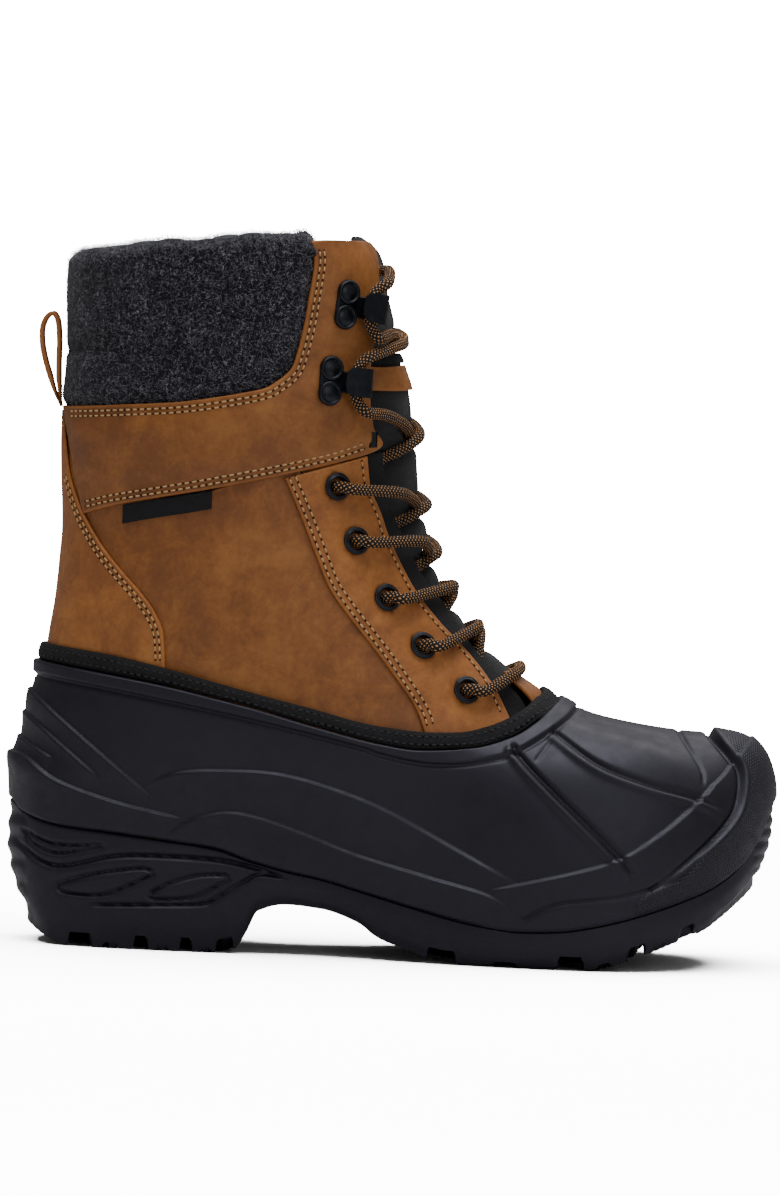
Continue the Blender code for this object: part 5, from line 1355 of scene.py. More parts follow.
def ridge_u(y, z):
    """Turn round the shaft, near its front ridge, of a place at y."""
    y, z = np.broadcast_arrays(np.asarray(y, float), np.asarray(z, float))
    goal = np.minimum(np.abs(y) / smooth_table(SHAFT, z, 3), 0.98)
    shape = smooth_table(FRONT_SHAPE, z)
    low = np.full(y.shape, 0.5)
    high = np.ones(y.shape)
    for _ in range(30):
        middle = (low + high) / 2
        larger = np.maximum(np.sin(np.pi * middle), 0.0) ** (1.0 + shape * middle) > goal
        low = np.where(larger, middle, low)
        high = np.where(larger, high, middle)
    return (low + high) / 2 * np.where(y > 0, 1.0, -1.0)


TONGUE_DEPTHS = [(0.0, -7.6), (0.28, -8.5), (0.6, -10.6), (0.85, -11.6), (1.0, -11.9),
                 (3.0, -12.2)]


def tongue_depth(y, z):
    """Depth of the tongue's flat outer face under the shaft's surface."""
    share = np.abs(y) / np.maximum(throat_half(z), 12.0)
    return smooth_table(TONGUE_DEPTHS, share)


PUFF = []                  # the padding's grid, once it has been worked out


def puff_field():
    """Padding of the tongue on a grid of shares and heights, pressed in by the lace."""
    if PUFF:
        return PUFF[0]
    z = PUFF_LOW + np.arange(PUFF_ROWS, dtype=float)[:, None] + np.zeros((1, PUFF_COLUMNS))
    share = np.linspace(-PUFF_SHARES, PUFF_SHARES, PUFF_COLUMNS)[None, :] + 0.0 * z
    y = share * np.maximum(throat_half(z), 12.0)
    y = off_zero(y)
    u = ridge_u(y, z)
    place = skin(u, z, tongue_depth(y, z))
    out = skin_normal(u, z)
    line = catmull_line(lace_route(), 6)
    line = line[(line[:, 0] > -45.0) & (line[:, 2] > 100.0)]
    room = np.full(z.shape, 30.0)
    reach = LACE_D / 2 + 0.3
    for spot in line:
        to_lace = spot - place
        above = np.einsum("ijk,ijk->ij", to_lace, out)
        beside = np.einsum("ijk,ijk->ij", to_lace, to_lace) - above ** 2
        under = above - np.sqrt(np.maximum(reach ** 2 - beside, 0.0))
        near = (beside < reach ** 2) & (above > 0)
        room = np.where(near, np.minimum(room, under), room)
    room = room - 0.1 - 2.1 * fade(z, 226.0, 230.0) * (1.0 - fade(z, 248.5, 252.0))
    goal = 7.4 * np.maximum(1.0 - share ** 2, 0.0) ** 0.8
    goal = goal * fade(z, PUFF_LOW, 116.0) * fade(301.0 - z, 0.0, 14.0)
    high = np.minimum(goal, room)
    for _ in range(16):
        padded = np.pad(high, 1, mode="edge")
        high = (padded[:-2, 1:-1] + padded[2:, 1:-1] + padded[1:-1, :-2] + padded[1:-1, 2:]
                + high) / 5.0
        high = np.minimum(np.minimum(high, goal), room)
    PUFF.append(np.maximum(high, -0.3))
    return PUFF[0]


def tongue_puff(y, z):
    """Height of the padding at a place, read from its grid with one row per millimetre."""
    y, z = np.broadcast_arrays(np.asarray(y, float), np.asarray(z, float))
    share = y / np.maximum(throat_half(z), 12.0)
    field = puff_field()
    r = np.clip(z - PUFF_LOW, 0.0, PUFF_ROWS - 1.001)
    c = (share + PUFF_SHARES) / (2 * PUFF_SHARES) * (PUFF_COLUMNS - 1)
    c = np.clip(c, 0.0, PUFF_COLUMNS - 1.001)
    i = r.astype(int)
    j = c.astype(int)
    a = r - i
    b = c - j
    return ((field[i, j] * (1 - b) + field[i, j + 1] * b) * (1 - a)
            + (field[i + 1, j] * (1 - b) + field[i + 1, j + 1] * b) * a)


def tongue_point(y, z, lift):
    """Point at a distance out from the tongue's padded face."""
    return skin(ridge_u(y, z), z, np.asarray(lift) + tongue_depth(y, z) + tongue_puff(y, z))


def build_tongue(material):
    """Padded tongue, between the throat's edges and tucked under them."""
    z = np.concatenate([np.linspace(104.6, 107.0, 5), np.linspace(108.5, 290.0, 120),
                        np.linspace(291.0, 296.8, 12)])
    half = np.minimum(31.0, throat_half(z) + 8.0)
    half = np.where(z > 285.0, half - (z - 285.0) ** 2 * 0.06, half)
    half = np.where(z < 108.0, np.minimum(half, throat_half(z) + 2.0), half)
    s = np.sin(np.linspace(-0.5, 0.5, 61) * np.pi)
    s = off_zero(s)
    y = half[:, None] * s[None, :]
    zz = np.broadcast_to(z[:, None], y.shape)
    flat = tongue_point(y, zz, 0.0)
    distance, along, down = border_distance(flat)
    puff = 0.5 * np.abs(np.sin((zz - 100.0) * np.pi / 34.0)) ** 0.5 - 0.35
    lift = puff * fade(distance, 1.0, 8.0) - rounded(distance, 2.2)
    outer = tongue_point(y, zz, lift + 0.12 * ripple(flat, 14.0, 2.0))
    inner = tongue_point(y, zz, -TONGUE + rounded(distance, 2.2))
    return solid("tongue_woven", outer, inner, material,
                 uv=np.stack([along, down], axis=-1), attributes={"edge": distance})


def build_on_tongue(name, material, low, high, half, thick, radius=0.5):
    """Flat piece sewn on the tongue."""
    t = fractions(26, high - low, (0.0, 0.15, 0.4, 0.8))
    s = fractions(50, half * 2, (0.0, 0.15, 0.4, 0.8)) * 2.0 - 1.0
    y = half * s[None, :] + 0.0 * t[:, None]
    y = off_zero(y)
    z = low + (high - low) * t[:, None] + 0.0 * y
    flat = tongue_point(y, z, GAP)
    distance, along, down = border_distance(flat)
    outer = tongue_point(y, z, 0.75 + thick - rounded(distance, radius)
                         + 0.1 * ripple(flat, 5.0, 1.0))
    inner = tongue_point(y, z, np.full(y.shape, 0.3))
    return solid(name, outer, inner, material, uv=np.stack([along, down], axis=-1),
                 attributes={"edge": distance})


def build_throat_tab(leather):
    """Leather piece at the foot of the throat."""
    t = fractions(24, 13.0, (0.0, 0.15, 0.4, 0.8))
    z = 105.4 + (118.4 - 105.4) * t
    half = throat_half(z) - 2.2
    s = fractions(40, 24.0) * 2.0 - 1.0
    s = off_zero(s)
    y = half[:, None] * s[None, :]
    zz = z[:, None] + 0.0 * y
    u = ridge_u(y, zz)
    flat = skin(u, zz, np.zeros(y.shape))
    distance, along, down = border_distance(flat)
    outer = skin(u, zz, 0.4 - rounded(distance, 0.6))
    inner = skin(u, zz, np.full(y.shape, -1.0))
    return solid("throat_tab_leather", outer, inner, leather,
                 uv=np.stack([along, down], axis=-1), attributes={"edge": distance})


# ---------------------------------------------------------------- hardware

def skin_frame(x, z, side):
    """Origin and axes on the skin: forward, up, outward."""
    x = np.asarray(float(x))
    z = np.asarray(float(z))
    u = u_at(x, z, side)
    out = skin_normal(u, z)
    up = np.array([0.0, 0.0, 1.0])
    up = up - out * (up @ out)
    up /= np.linalg.norm(up)
    forward = np.cross(up, out)
    if forward[0] < 0:
        forward = -forward
    return skin_point(u, z), forward, up, out


def in_frame(frame, p, turn=0.0):
    """Points of a local frame, turned in its plane, as points in space."""
    origin, forward, up, out = frame
    p = np.asarray(p, float)
    c, s = math.cos(turn), math.sin(turn)
    x = p[..., 0] * c - p[..., 1] * s
    y = p[..., 0] * s + p[..., 1] * c
    return origin + x[..., None] * forward + y[..., None] * up + p[..., 2][..., None] * out


def turned(name, material, profile, frame, sides=40, centre=(0.0, 0.0), turn=0.0,
           closed=True, per_span=4, sharp=None):
    """Turned piece; profile is (radius, height) along the outward axis."""
    line = catmull_line(list(profile) + ([profile[0]] if closed else []), per_span)
    if closed:
        line = line[:-1]
    line[:, 0] = np.maximum(line[:, 0], 0.0)
    angle = np.linspace(0.0, 2 * np.pi, sides, endpoint=False)
    grid = np.stack([line[:, 0:1] * np.cos(angle) + centre[0],
                     line[:, 0:1] * np.sin(angle) + centre[1],
                     line[:, 1:2] + 0.0 * angle], axis=-1)
    points = in_frame(frame, grid, turn)
    rows = len(line)
    faces = quads(rows, sides, True)
    if closed:
        for c in range(sides):
            d = (c + 1) % sides
            k = (rows - 1) * sides
            faces.append([k + c, k + d, d, c])
    else:
        faces.append(list(range(sides))[::-1])
        faces.append([(rows - 1) * sides + c for c in range(sides)])
    return make_object(name, points.reshape(-1, 3), faces, material, sharp=sharp)


def build_eyelet(name, material, x, z, side):
    """Rolled metal eyelet with its barrel."""
    profile = [(3.6, -4.0), (3.55, 0.3), (3.62, 1.05), (3.95, 1.55), (4.4, 1.6), (4.72, 1.3),
               (5.0, 1.05), (5.4, 0.95), (5.68, 0.7), (5.6, 0.25), (4.6, 0.1), (4.2, -1.0),
               (4.2, -4.0)]
    return turned(name, material, profile, skin_frame(x, z, side), 44)


def hook_place(rivets, side):
    """Frame between a hook's two rivets, and its lean."""
    top, low = rivets
    frame = skin_frame((top[0] + low[0]) / 2, (top[1] + low[1]) / 2, side)
    lean = math.atan2(top[0] - low[0], top[1] - low[1])
    return frame, -lean


def build_hook(name, base_name, material, rivets, side):
    """Riveted plate whose front folds out and back into a hook, and its two rivets."""
    frame, turn = hook_place(rivets, side)
    path = [(-5.1, 1.4), (0.0, 1.4), (4.6, 1.4), (10.0, 1.5), (13.8, 2.4), (15.8, 4.9),
            (14.8, 7.7), (11.4, 9.0), (3.2, 9.2)]
    line = even(path, 90)
    ahead = np.gradient(line, axis=0)
    ahead /= np.linalg.norm(ahead, axis=1, keepdims=True)
    normal = np.stack([-ahead[:, 1], ahead[:, 0]], axis=1)
    s = lengths(line)
    t = s / s[-1]
    x = line[:, 0]
    flat = t < 0.42
    disc = np.sqrt(np.maximum(4.9 ** 2 - (x + 0.4) ** 2, 0.0))
    base = 5.1 + disc
    neck = 4.4 + 1.5 * fade(t, 0.5, 0.66)
    half = np.where(flat & (x < 4.2), base, neck)
    half = np.where(flat, np.maximum(half, neck * fade(x, -1.0, 2.0)), neck)
    left = s[-1] - s
    half = half - rounded(left, 4.2)
    across = np.concatenate([np.linspace(-1.0, -0.86, 5), np.linspace(-0.8, 0.8, 13),
                             np.linspace(0.86, 1.0, 5)])
    y = half[:, None] * across[None, :]
    gap = (1.0 - np.abs(across))[None, :] * half[:, None]
    ends_gap = np.minimum(s, left)[:, None] + 0.0 * y
    thick = 0.62 - rounded(np.minimum(gap, ends_gap), 0.5)
    thick = thick + 0.35 * (np.exp(-((np.abs(y) - 2.6) / 0.6) ** 2) * fade(t, 0.74, 0.8)[:, None])
    outer = np.stack([line[:, 0:1] + normal[:, 0:1] * thick, y,
                      line[:, 1:2] + normal[:, 1:2] * thick], axis=-1)
    under = np.full(y.shape, 0.55)
    inner = np.stack([line[:, 0:1] - normal[:, 0:1] * under, y,
                      line[:, 1:2] - normal[:, 1:2] * under], axis=-1)
    made = [solid(name + "_bent", in_frame(frame, outer, turn), in_frame(frame, inner, turn),
                  material, sharp=1.0)]
    dome = [(0.0, 1.6), (4.75, 1.6), (5.0, 2.1), (4.85, 2.9), (4.35, 3.25), (3.85, 3.15),
            (3.5, 2.6), (3.15, 2.6), (1.8, 3.05), (0.0, 3.2)]
    for number, y_place in enumerate((5.1, -5.1)):
        word = ("upper", "lower")[number]
        made.append(turned(base_name + "_" + word + "_head", material, dome, frame, 36,
                           (-0.4, y_place), turn, closed=False, per_span=3))
    return made


# ---------------------------------------------------------------- pull loop and label

LOOP = [(-142.35, 219.4), (-146.6, 227.6), (-149.9, 236.7), (-151.8, 244.7), (-151.9, 252.0),
        (-149.6, 257.0), (-146.2, 258.2), (-143.9, 254.6), (-143.0, 247.0), (-142.9, 238.0),
        (-142.6, 229.0), (-142.3, 222.4)]


def closed_line(points, per_span):
    """Fine points of a closed Catmull-Rom curve."""
    p = np.asarray(points, float)
    n = len(p)
    t = np.linspace(0.0, 1.0, per_span, endpoint=False)[:, None]
    parts = []
    for i in range(n):
        parts.append(catmull(p[i - 1], p[i], p[(i + 1) % n], p[(i + 2) % n], t))
    return np.vstack(parts)


def build_pull_loop(leather):
    """Strap folded into a loop on the back seam, thinned where it is sewn down."""
    fine = closed_line(LOOP, 10)
    ahead = np.roll(fine, -1, axis=0) - np.roll(fine, 1, axis=0)
    ahead /= np.linalg.norm(ahead, axis=1, keepdims=True)
    inward = np.stack([-ahead[:, 1], ahead[:, 0]], axis=1)
    to_middle = np.array([-147.0, 243.0]) - fine
    inward[np.einsum("ij,ij->i", inward, to_middle) < 0] *= -1
    thinned = 0.35 + 1.55 * np.maximum((fine[:, 1] - 219.8) / 11.2, 0.0)
    thick = np.where(fine[:, 1] < 231.0, np.minimum(STRAP_THICK, thinned), STRAP_THICK)
    s = np.array([0.0, 0.02, 0.05, 0.1, 0.2, 0.35, 0.5, 0.65, 0.8, 0.9, 0.95, 0.98, 1.0])
    y = (s - 0.5) * STRAP_WIDTH
    edge = np.minimum(s, 1.0 - s) * STRAP_WIDTH
    drop = rounded(edge, 0.7)
    outer = fine[:, None, :] + inward[:, None, :] * drop[None, :, None]
    inner_drop = np.minimum(drop, 0.5)[None, :] * (thick / STRAP_THICK)[:, None]
    inner = fine[:, None, :] + inward[:, None, :] * (thick[:, None] - inner_drop)[..., None]

    def place(grid):
        return np.stack([grid[..., 0], np.broadcast_to(y, grid.shape[:2]), grid[..., 1]], axis=-1)

    outer = place(outer).transpose(1, 0, 2)
    inner = place(inner).transpose(1, 0, 2)
    distance = np.broadcast_to(edge[:, None], outer.shape[:2])
    return solid("pull_loop_strap", outer, inner, leather, closed=True,
                 attributes={"edge": distance})


def build_side_label(material):
    """Plain black label on the lateral side."""
    s = fractions(60, 37.0, (0.0, 0.15, 0.4, 0.8))
    t = fractions(20, 7.6, (0.0, 0.15, 0.4, 0.8))
    x = -114.8 + 36.6 * s[None, :] + 0.0 * t[:, None]
    z = curve_z(CUFF_BOTTOM, x) - 0.6 - 7.6 * t[:, None]
    u = u_at(x, z, -1)
    flat = skin(u, z, np.zeros(x.shape))
    distance, along, down = border_distance(flat)
    outer = skin(u, z, BASE_OUT + 1.35 - rounded(distance, 0.5))
    inner = skin(u, z, np.full(x.shape, BASE_OUT - 0.4))
    return solid("side_label_blank", outer, inner, material,
                 uv=np.stack([along, down], axis=-1))


# ---------------------------------------------------------------- lace

CROSSINGS = [131.0, 147.0, 164.5, 184.0, 213.0, 251.5]


def one_ridge(y, z, lift):
    """Point over the throat, out from the shaft's surface."""
    y = y if abs(y) > 0.01 else 0.01
    return skin(ridge_u(y, z), np.asarray(float(z)), np.asarray(float(lift)))


def eyelet_spot(number):
    """Distance from the middle, and height, of an eyelet."""
    x, z = EYELETS[number]
    return abs(float(skin_point(u_at(x, np.asarray(float(z)), 1), float(z))[1])), z


def eyelet_dive(number, side):
    """Route through an eyelet, from outside to inside."""
    x, z = EYELETS[number]
    local = [(6.5, -1.2, 4.5), (2.0, -0.4, 3.7), (0.1, 0.0, 1.2), (0.0, 0.1, -2.4),
             (1.6, 0.5, -6.0), (6.0, 1.0, -7.8)]
    return list(in_frame(skin_frame(x, z, side), local))


def crossing(side, start, centre_z, end, start_half, end_half, over, start_lift, end_lift):
    """Route between two fixings, from one side of the tongue to the other."""
    points = []
    y0, z0 = start
    y1, z1 = end
    middle = (z0 + z1) / 2
    top = 1.9 if over else -2.8
    stops = [(0.6, None), (0.28, None), (0.0, top), (-0.28, None), (-0.6, None)]
    if end_lift < 4.5:
        stops.append((-1.0, end_lift))
    if start_lift < 0:
        stops = [(1.15, start_lift), (0.8, start_lift + 0.3)] + stops
    for share, lift in stops:
        if share > 0:
            y = side * share * start_half
            t = abs(y) / y0
            z = middle + (z0 - middle) * t + (centre_z - middle) * (1 - t * t)
        elif share < 0:
            y = side * share * end_half
            t = abs(y) / y1
            z = middle + (z1 - middle) * t + (centre_z - middle) * (1 - t * t)
        else:
            y = 0.0
            z = centre_z
        if lift is None:
            ground = float(tongue_depth(abs(y), z)) + LACE_D / 2 + 2.9
            away = start_lift if share > 0 else end_lift
            mix = abs(share)
            chord = top * (1 - mix) + away * mix
            if away < 0 and mix > 0.5:
                chord = -4.8
            lift = max(ground, chord)
        elif share == 0.8:
            lift = max(lift, float(tongue_depth(abs(y), z)) + LACE_D / 2 + 1.5)
        points.append(one_ridge(y, z, lift))
    return points


def hook_turn(number, side):
    """Route round a lace hook, bottom to top."""
    frame, turn = hook_place(HOOK_BASES[number], side)
    local = [(15.5, -11.5, 4.6), (11.2, -8.2, 5.0), (9.2, -3.5, 5.15), (9.2, 3.5, 5.15),
             (11.2, 8.2, 5.0), (15.5, 11.5, 4.6)]
    return list(in_frame(frame, local, turn))


def half_route(first_side, over_first):
    """Route of one end of the lace, from its first eyelet to its last hook."""
    points = []
    side = first_side
    over = over_first
    points += eyelet_dive(0, side)
    for number in range(4):
        a = eyelet_spot(number)
        b = eyelet_spot(number + 1)
        points += crossing(side, a, CROSSINGS[number], b, float(throat_half(a[1])),
                           float(throat_half(b[1])), over, -7.7, 4.45)
        side = -side
        points += eyelet_dive(number + 1, side)
        over = not over
    a = eyelet_spot(4)
    y_low = abs(float(hook_turn(0, 1)[0][1]))
    points += crossing(side, a, CROSSINGS[4], (y_low + 4.0, 226.0), float(throat_half(200.0)),
                       y_low + 2.0, over, -7.5, 5.0)
    side = -side
    points += hook_turn(0, side)
    over = not over
    y_top = abs(float(hook_turn(0, 1)[-1][1]))
    y_next = abs(float(hook_turn(1, 1)[0][1]))
    points += crossing(side, (y_top + 4.0, 246.0), CROSSINGS[5], (y_next + 4.0, 256.0),
                       y_top + 1.0, y_next + 1.0, over, 5.0, 5.0)
    side = -side
    points += hook_turn(1, side)
    return points, side


def lace_route():
    """Whole lace: two halves joined by the bar across the lowest eyelets."""
    left, left_end = half_route(-1, True)
    right, right_end = half_route(1, False)
    y0, z0 = eyelet_spot(0)
    bar = []
    for share in (-0.62, -0.3, 0.0, 0.3, 0.62):
        y = share * y0
        bar.append(one_ridge(y, z0 + (117.0 - z0) * (1 - share ** 2), 3.4))

    tails = {}
    for end in (-1, 1):
        turn = [(0.88, 278.8, 3.4), (0.70, 280.2, 0.8), (0.72, 280.2, -3.2), (0.98, 278.0, -6.2)]
        tails[end] = [one_ridge(end * share * float(throat_half(z)), z, lift)
                      for share, z, lift in turn]
        hung = [(-22.0, 268.0), (-25.5, 257.0), (-28.0, 246.0), (-29.5, 236.0)]
        tails[end] += [skin(u_at(x, np.asarray(z), end), z, np.asarray(-6.6)) for x, z in hung]
    head = list(reversed(left + tails[left_end]))
    return np.array(head + bar + right + tails[right_end])


def wrap_lace(data, around, goal):
    """Flat map of the braid: turns round the cord, and metres along it."""
    layer = data.uv_layers.new(name="flat")
    index = np.empty(len(data.loops), dtype=np.int64)
    data.loops.foreach_get("vertex_index", index)
    starts = np.empty(len(data.polygons), dtype=np.int64)
    totals = np.empty(len(data.polygons), dtype=np.int64)
    data.polygons.foreach_get("loop_start", starts)
    data.polygons.foreach_get("loop_total", totals)
    owner = np.repeat(np.arange(len(starts)), totals)
    column = index % around
    row = np.minimum(index // around, len(goal) - 1)
    widest = np.zeros(len(starts), dtype=np.int64)
    np.maximum.at(widest, owner, column)
    wraps = (column == 0) & (widest[owner] > around // 2)
    turn = np.where(wraps, 1.0, column / around)
    uv = np.stack([turn, goal[row] * MM], axis=-1)
    layer.data.foreach_set("uv", uv.ravel())


def build_lace(material, tip):
    """Braided tube along the route and its two tips; also the path and length in metres."""
    route = lace_route()
    line = catmull_line(route, 12)
    s = lengths(line)
    count = int(s[-1] / (0.55))
    goal = np.linspace(0.0, s[-1], count)
    line = np.stack([np.interp(goal, s, line[:, k]) for k in range(3)], axis=1)
    kernel = np.array([1.0, 2.0, 3.0, 2.0, 1.0]) / 9.0
    smooth = line.copy()
    for k in range(3):
        smooth[2:-2, k] = np.convolve(line[:, k], kernel, mode="valid")
    line = smooth
    way = np.gradient(line, axis=0)
    way /= np.linalg.norm(way, axis=1, keepdims=True)
    frame_up = np.zeros_like(line)
    up = np.cross(way[0], [0.3, 0.9, 0.1])
    for i in range(count):
        up = up - way[i] * (up @ way[i])
        up /= np.linalg.norm(up)
        frame_up[i] = up
    cross = np.cross(way, frame_up)
    around = 48
    angle = np.linspace(0.0, 2 * np.pi, around, endpoint=False)
    turn = angle[None, :] / (2 * np.pi)
    along = goal[:, None]
    first = STRANDS * turn + along / STRAND_PITCH
    second = STRANDS * turn - along / STRAND_PITCH
    height = np.abs(np.sin(np.pi * first)) * np.abs(np.sin(np.pi * second))
    radius = LACE_D / 2 - 0.20 + 0.32 * height
    points = line[:, None, :] + (frame_up[:, None, :] * np.cos(angle)[None, :, None]
                                 + cross[:, None, :] * np.sin(angle)[None, :, None]) \
        * radius[..., None]
    verts = np.concatenate([points.reshape(-1, 3), line[:1], line[-1:]])
    total = count * around
    faces = quads(count, around, True)
    faces += fan(0, around, total, True)
    faces += fan((count - 1) * around, around, total + 1, False)
    thing = make_object("lace_braided", verts, faces, material)
    wrap_lace(thing.data, around, goal)
    tips = []
    for name, end, before in (("aglet_a_tip", line[0], line[6]), ("aglet_b_tip", line[-1],
                                                                  line[-7])):
        out = (end - before) / np.linalg.norm(end - before)
        side = np.cross(out, [1.0, 0.0, 0.0])
        side /= np.linalg.norm(side)
        frame = (end, side, np.cross(out, side), out)
        tips.append(turned(name, tip, [(0.0, -2.0), (2.2, -2.0), (2.42, -1.0), (2.05, 0.4),
                                       (1.95, 8.0), (1.9, 16.0), (1.5, 18.0), (0.0, 18.4)],
                           frame, 20, closed=False, per_span=3))
    step = max(count // 400, 1)
    path = np.concatenate([line[::step], line[-1:]]) * MM
    return thing, tips, path, s[-1] * MM


# ---------------------------------------------------------------- materials

class Look:
    """Small helper that builds one Principled material from procedural nodes."""

    def __init__(self, name, roughness=0.5, metallic=0.0, specular=0.5):
        self.material = bpy.data.materials.new(name)
        self.material.use_nodes = True
        self.tree = self.material.node_tree
        self.shader = self.tree.nodes["Principled BSDF"]
        self.shader.inputs["Roughness"].default_value = roughness
        self.shader.inputs["Metallic"].default_value = metallic
        self.shader.inputs["Specular IOR Level"].default_value = specular
        self.coords = self.tree.nodes.new("ShaderNodeTexCoord")

    def node(self, kind, **values):
        made = self.tree.nodes.new(kind)
        for key, value in values.items():
            setattr(made, key, value)
        return made

    def link(self, source, target):
        self.tree.links.new(source, target)

    def place(self, scale, uv=False):
        """Scaled coordinates: object space in metres, or the flat map in metres."""
        made = self.node("ShaderNodeMapping")
        made.inputs["Scale"].default_value = scale if hasattr(scale, "__len__") else (scale,) * 3
        if uv:
            flat = self.node("ShaderNodeUVMap", uv_map="flat")
            self.link(flat.outputs["UV"], made.inputs["Vector"])
        else:
            self.link(self.coords.outputs["Object"], made.inputs["Vector"])
        return made.outputs["Vector"]

    def noise(self, scale, detail=4.0, rough=0.55, warp=0.0, uv=False):
        made = self.node("ShaderNodeTexNoise")
        made.inputs["Scale"].default_value = 1.0
        made.inputs["Detail"].default_value = detail
        made.inputs["Roughness"].default_value = rough
        made.inputs["Distortion"].default_value = warp
        self.link(self.place(scale, uv), made.inputs["Vector"])
        return made.outputs["Fac"]

    def cells(self, scale, feature="F1", uv=False, chaos=1.0):
        made = self.node("ShaderNodeTexVoronoi", feature=feature)
        made.inputs["Scale"].default_value = 1.0
        made.inputs["Randomness"].default_value = chaos
        self.link(self.place(scale, uv), made.inputs["Vector"])
        return made.outputs["Distance"]

    def waves(self, scale, direction="X", uv=True, warp=0.0):
        made = self.node("ShaderNodeTexWave", wave_type="BANDS", bands_direction=direction,
                         wave_profile="SIN")
        made.inputs["Scale"].default_value = 1.0
        made.inputs["Distortion"].default_value = warp
        self.link(self.place(scale, uv), made.inputs["Vector"])
        return made.outputs["Fac"]

    def attribute(self, name):
        return self.node("ShaderNodeAttribute", attribute_name=name).outputs["Fac"]

    def math(self, operation, a, b=0.0, c=0.0):
        made = self.node("ShaderNodeMath", operation=operation)
        for socket, value in zip(made.inputs, (a, b, c)):
            if isinstance(value, (int, float)):
                socket.default_value = value
            else:
                self.link(value, socket)
        return made.outputs[0]

    def remap(self, value, low, high, to_low=0.0, to_high=1.0):
        made = self.node("ShaderNodeMapRange")
        for key, number in (("From Min", low), ("From Max", high), ("To Min", to_low),
                            ("To Max", to_high)):
            made.inputs[key].default_value = number
        self.link(value, made.inputs["Value"])
        return made.outputs["Result"]

    def ramp(self, value, stops):
        made = self.node("ShaderNodeValToRGB")
        band = made.color_ramp
        while len(band.elements) < len(stops):
            band.elements.new(0.5)
        for element, (position, colour) in zip(band.elements, stops):
            element.position = position
            element.color = (*colour, 1.0)
        self.link(value, made.inputs["Fac"])
        return made.outputs["Color"]

    def mix(self, share, a, b):
        made = self.node("ShaderNodeMix", data_type="RGBA")
        for socket, value in ((made.inputs[0], share), (made.inputs[6], a), (made.inputs[7], b)):
            if isinstance(value, (int, float)):
                socket.default_value = value
            elif isinstance(value, tuple):
                socket.default_value = (*value, 1.0)
            else:
                self.link(value, socket)
        return made.outputs[2]

    def colour(self, value):
        if isinstance(value, tuple):
            self.shader.inputs["Base Color"].default_value = (*value, 1.0)
        else:
            self.link(value, self.shader.inputs["Base Color"])

    def roughness(self, value):
        self.link(value, self.shader.inputs["Roughness"])

    def bump(self, *layers):
        """Layers are (height, distance in millimetres, strength)."""
        before = None
        for height, distance, strength in layers:
            made = self.node("ShaderNodeBump")
            made.inputs["Distance"].default_value = distance * MM
            made.inputs["Strength"].default_value = strength
            self.link(height, made.inputs["Height"])
            if before is not None:
                self.link(before, made.inputs["Normal"])
            before = made.outputs["Normal"]
        self.link(before, self.shader.inputs["Normal"])


def rubber_look():
    """Satin rubber, with a grid of small squares where the bumper is."""
    look = Look("black_rubber_satin", 0.5, specular=0.46)
    look.shader.inputs["Specular Tint"].default_value = (0.84, 0.82, 1.0, 1.0)
    fine = look.noise(1500.0, 3.0)
    broad = look.noise(26.0, 3.0)
    look.colour(look.mix(broad, (0.0062, 0.0058, 0.0092), (0.0095, 0.0089, 0.0132)))
    look.roughness(look.remap(look.noise(160.0, 5.0), 0.3, 0.7, 0.40, 0.54))
    across = look.waves((262.0, 0.0, 0.0), "X")
    along = look.waves((0.0, 262.0, 0.0), "Y")
    squares = look.math("MULTIPLY", across, along)
    squares = look.math("MULTIPLY", squares, look.attribute("grid"))
    look.bump((fine, 0.05, 0.5), (squares, 0.35, 0.9))
    return look.material


def leather_look(name="tan_leather_waxed", shade=1.0):
    """Waxed leather, lighter along its rolled edges; shade scales every tone, for copies of the
    same leather painted lighter as painted light or darker as painted shade.
    """
    look = Look(name, 0.5, specular=0.4)
    cloud = look.noise(24.0, 5.0, 0.65, 0.8)
    patch = look.noise(75.0, 6.0, 0.7, 0.5)
    fine = look.noise(420.0, 4.0, 0.7)
    mixed = look.math("ADD", look.math("MULTIPLY", cloud, 0.52),
                      look.math("MULTIPLY", patch, 0.48))
    mixed = look.math("ADD", mixed, look.math("MULTIPLY", look.math("SUBTRACT", fine, 0.5), 0.22))
    tones = [(0.0, (0.150, 0.050, 0.0125)), (0.38, (0.215, 0.073, 0.0175)),
             (0.52, (0.270, 0.095, 0.0215)), (0.68, (0.328, 0.123, 0.028)),
             (1.0, (0.405, 0.168, 0.045))]
    tones = [(p, tuple(v * shade for v in c)) for p, c in tones]
    base = look.ramp(look.remap(mixed, 0.22, 0.78), tones)
    edge = look.remap(look.attribute("edge"), 0.0, 1.3, 1.0, 0.0)
    base = look.mix(look.math("MULTIPLY", edge, 0.55), base, (0.46, 0.160, 0.034))
    look.colour(base)
    look.roughness(look.remap(patch, 0.25, 0.75, 0.58, 0.42))
    pores = look.cells(1150.0)
    grain = look.cells(620.0, "SMOOTH_F1")
    crease = look.noise(95.0, 6.0, 0.7, 1.2)
    look.bump((grain, 0.10, 0.35), (pores, 0.05, 0.3), (crease, 0.5, 0.35))
    return look.material


def thread_look():
    look = Look("tan_thread", 0.7, specular=0.25)
    tone = look.noise(900.0, 2.0)
    look.colour(look.mix(tone, (0.50, 0.29, 0.13), (0.70, 0.44, 0.21)))
    twist = look.waves((1500.0, 900.0, 0.0), "DIAGONAL", uv=False)
    look.bump((twist, 0.08, 0.6))
    return look.material


# Colour of the dark discs at the stitch holes: painted shade, not the leather's own colour.
def hole_shade_look(name="stitch_hole_painted_shade", colour=(0.045, 0.018, 0.008)):
    look = Look(name, 0.9, specular=0.1)
    look.colour(look.mix(look.noise(800.0), colour, tuple(v * 1.6 for v in colour)))
    return look.material


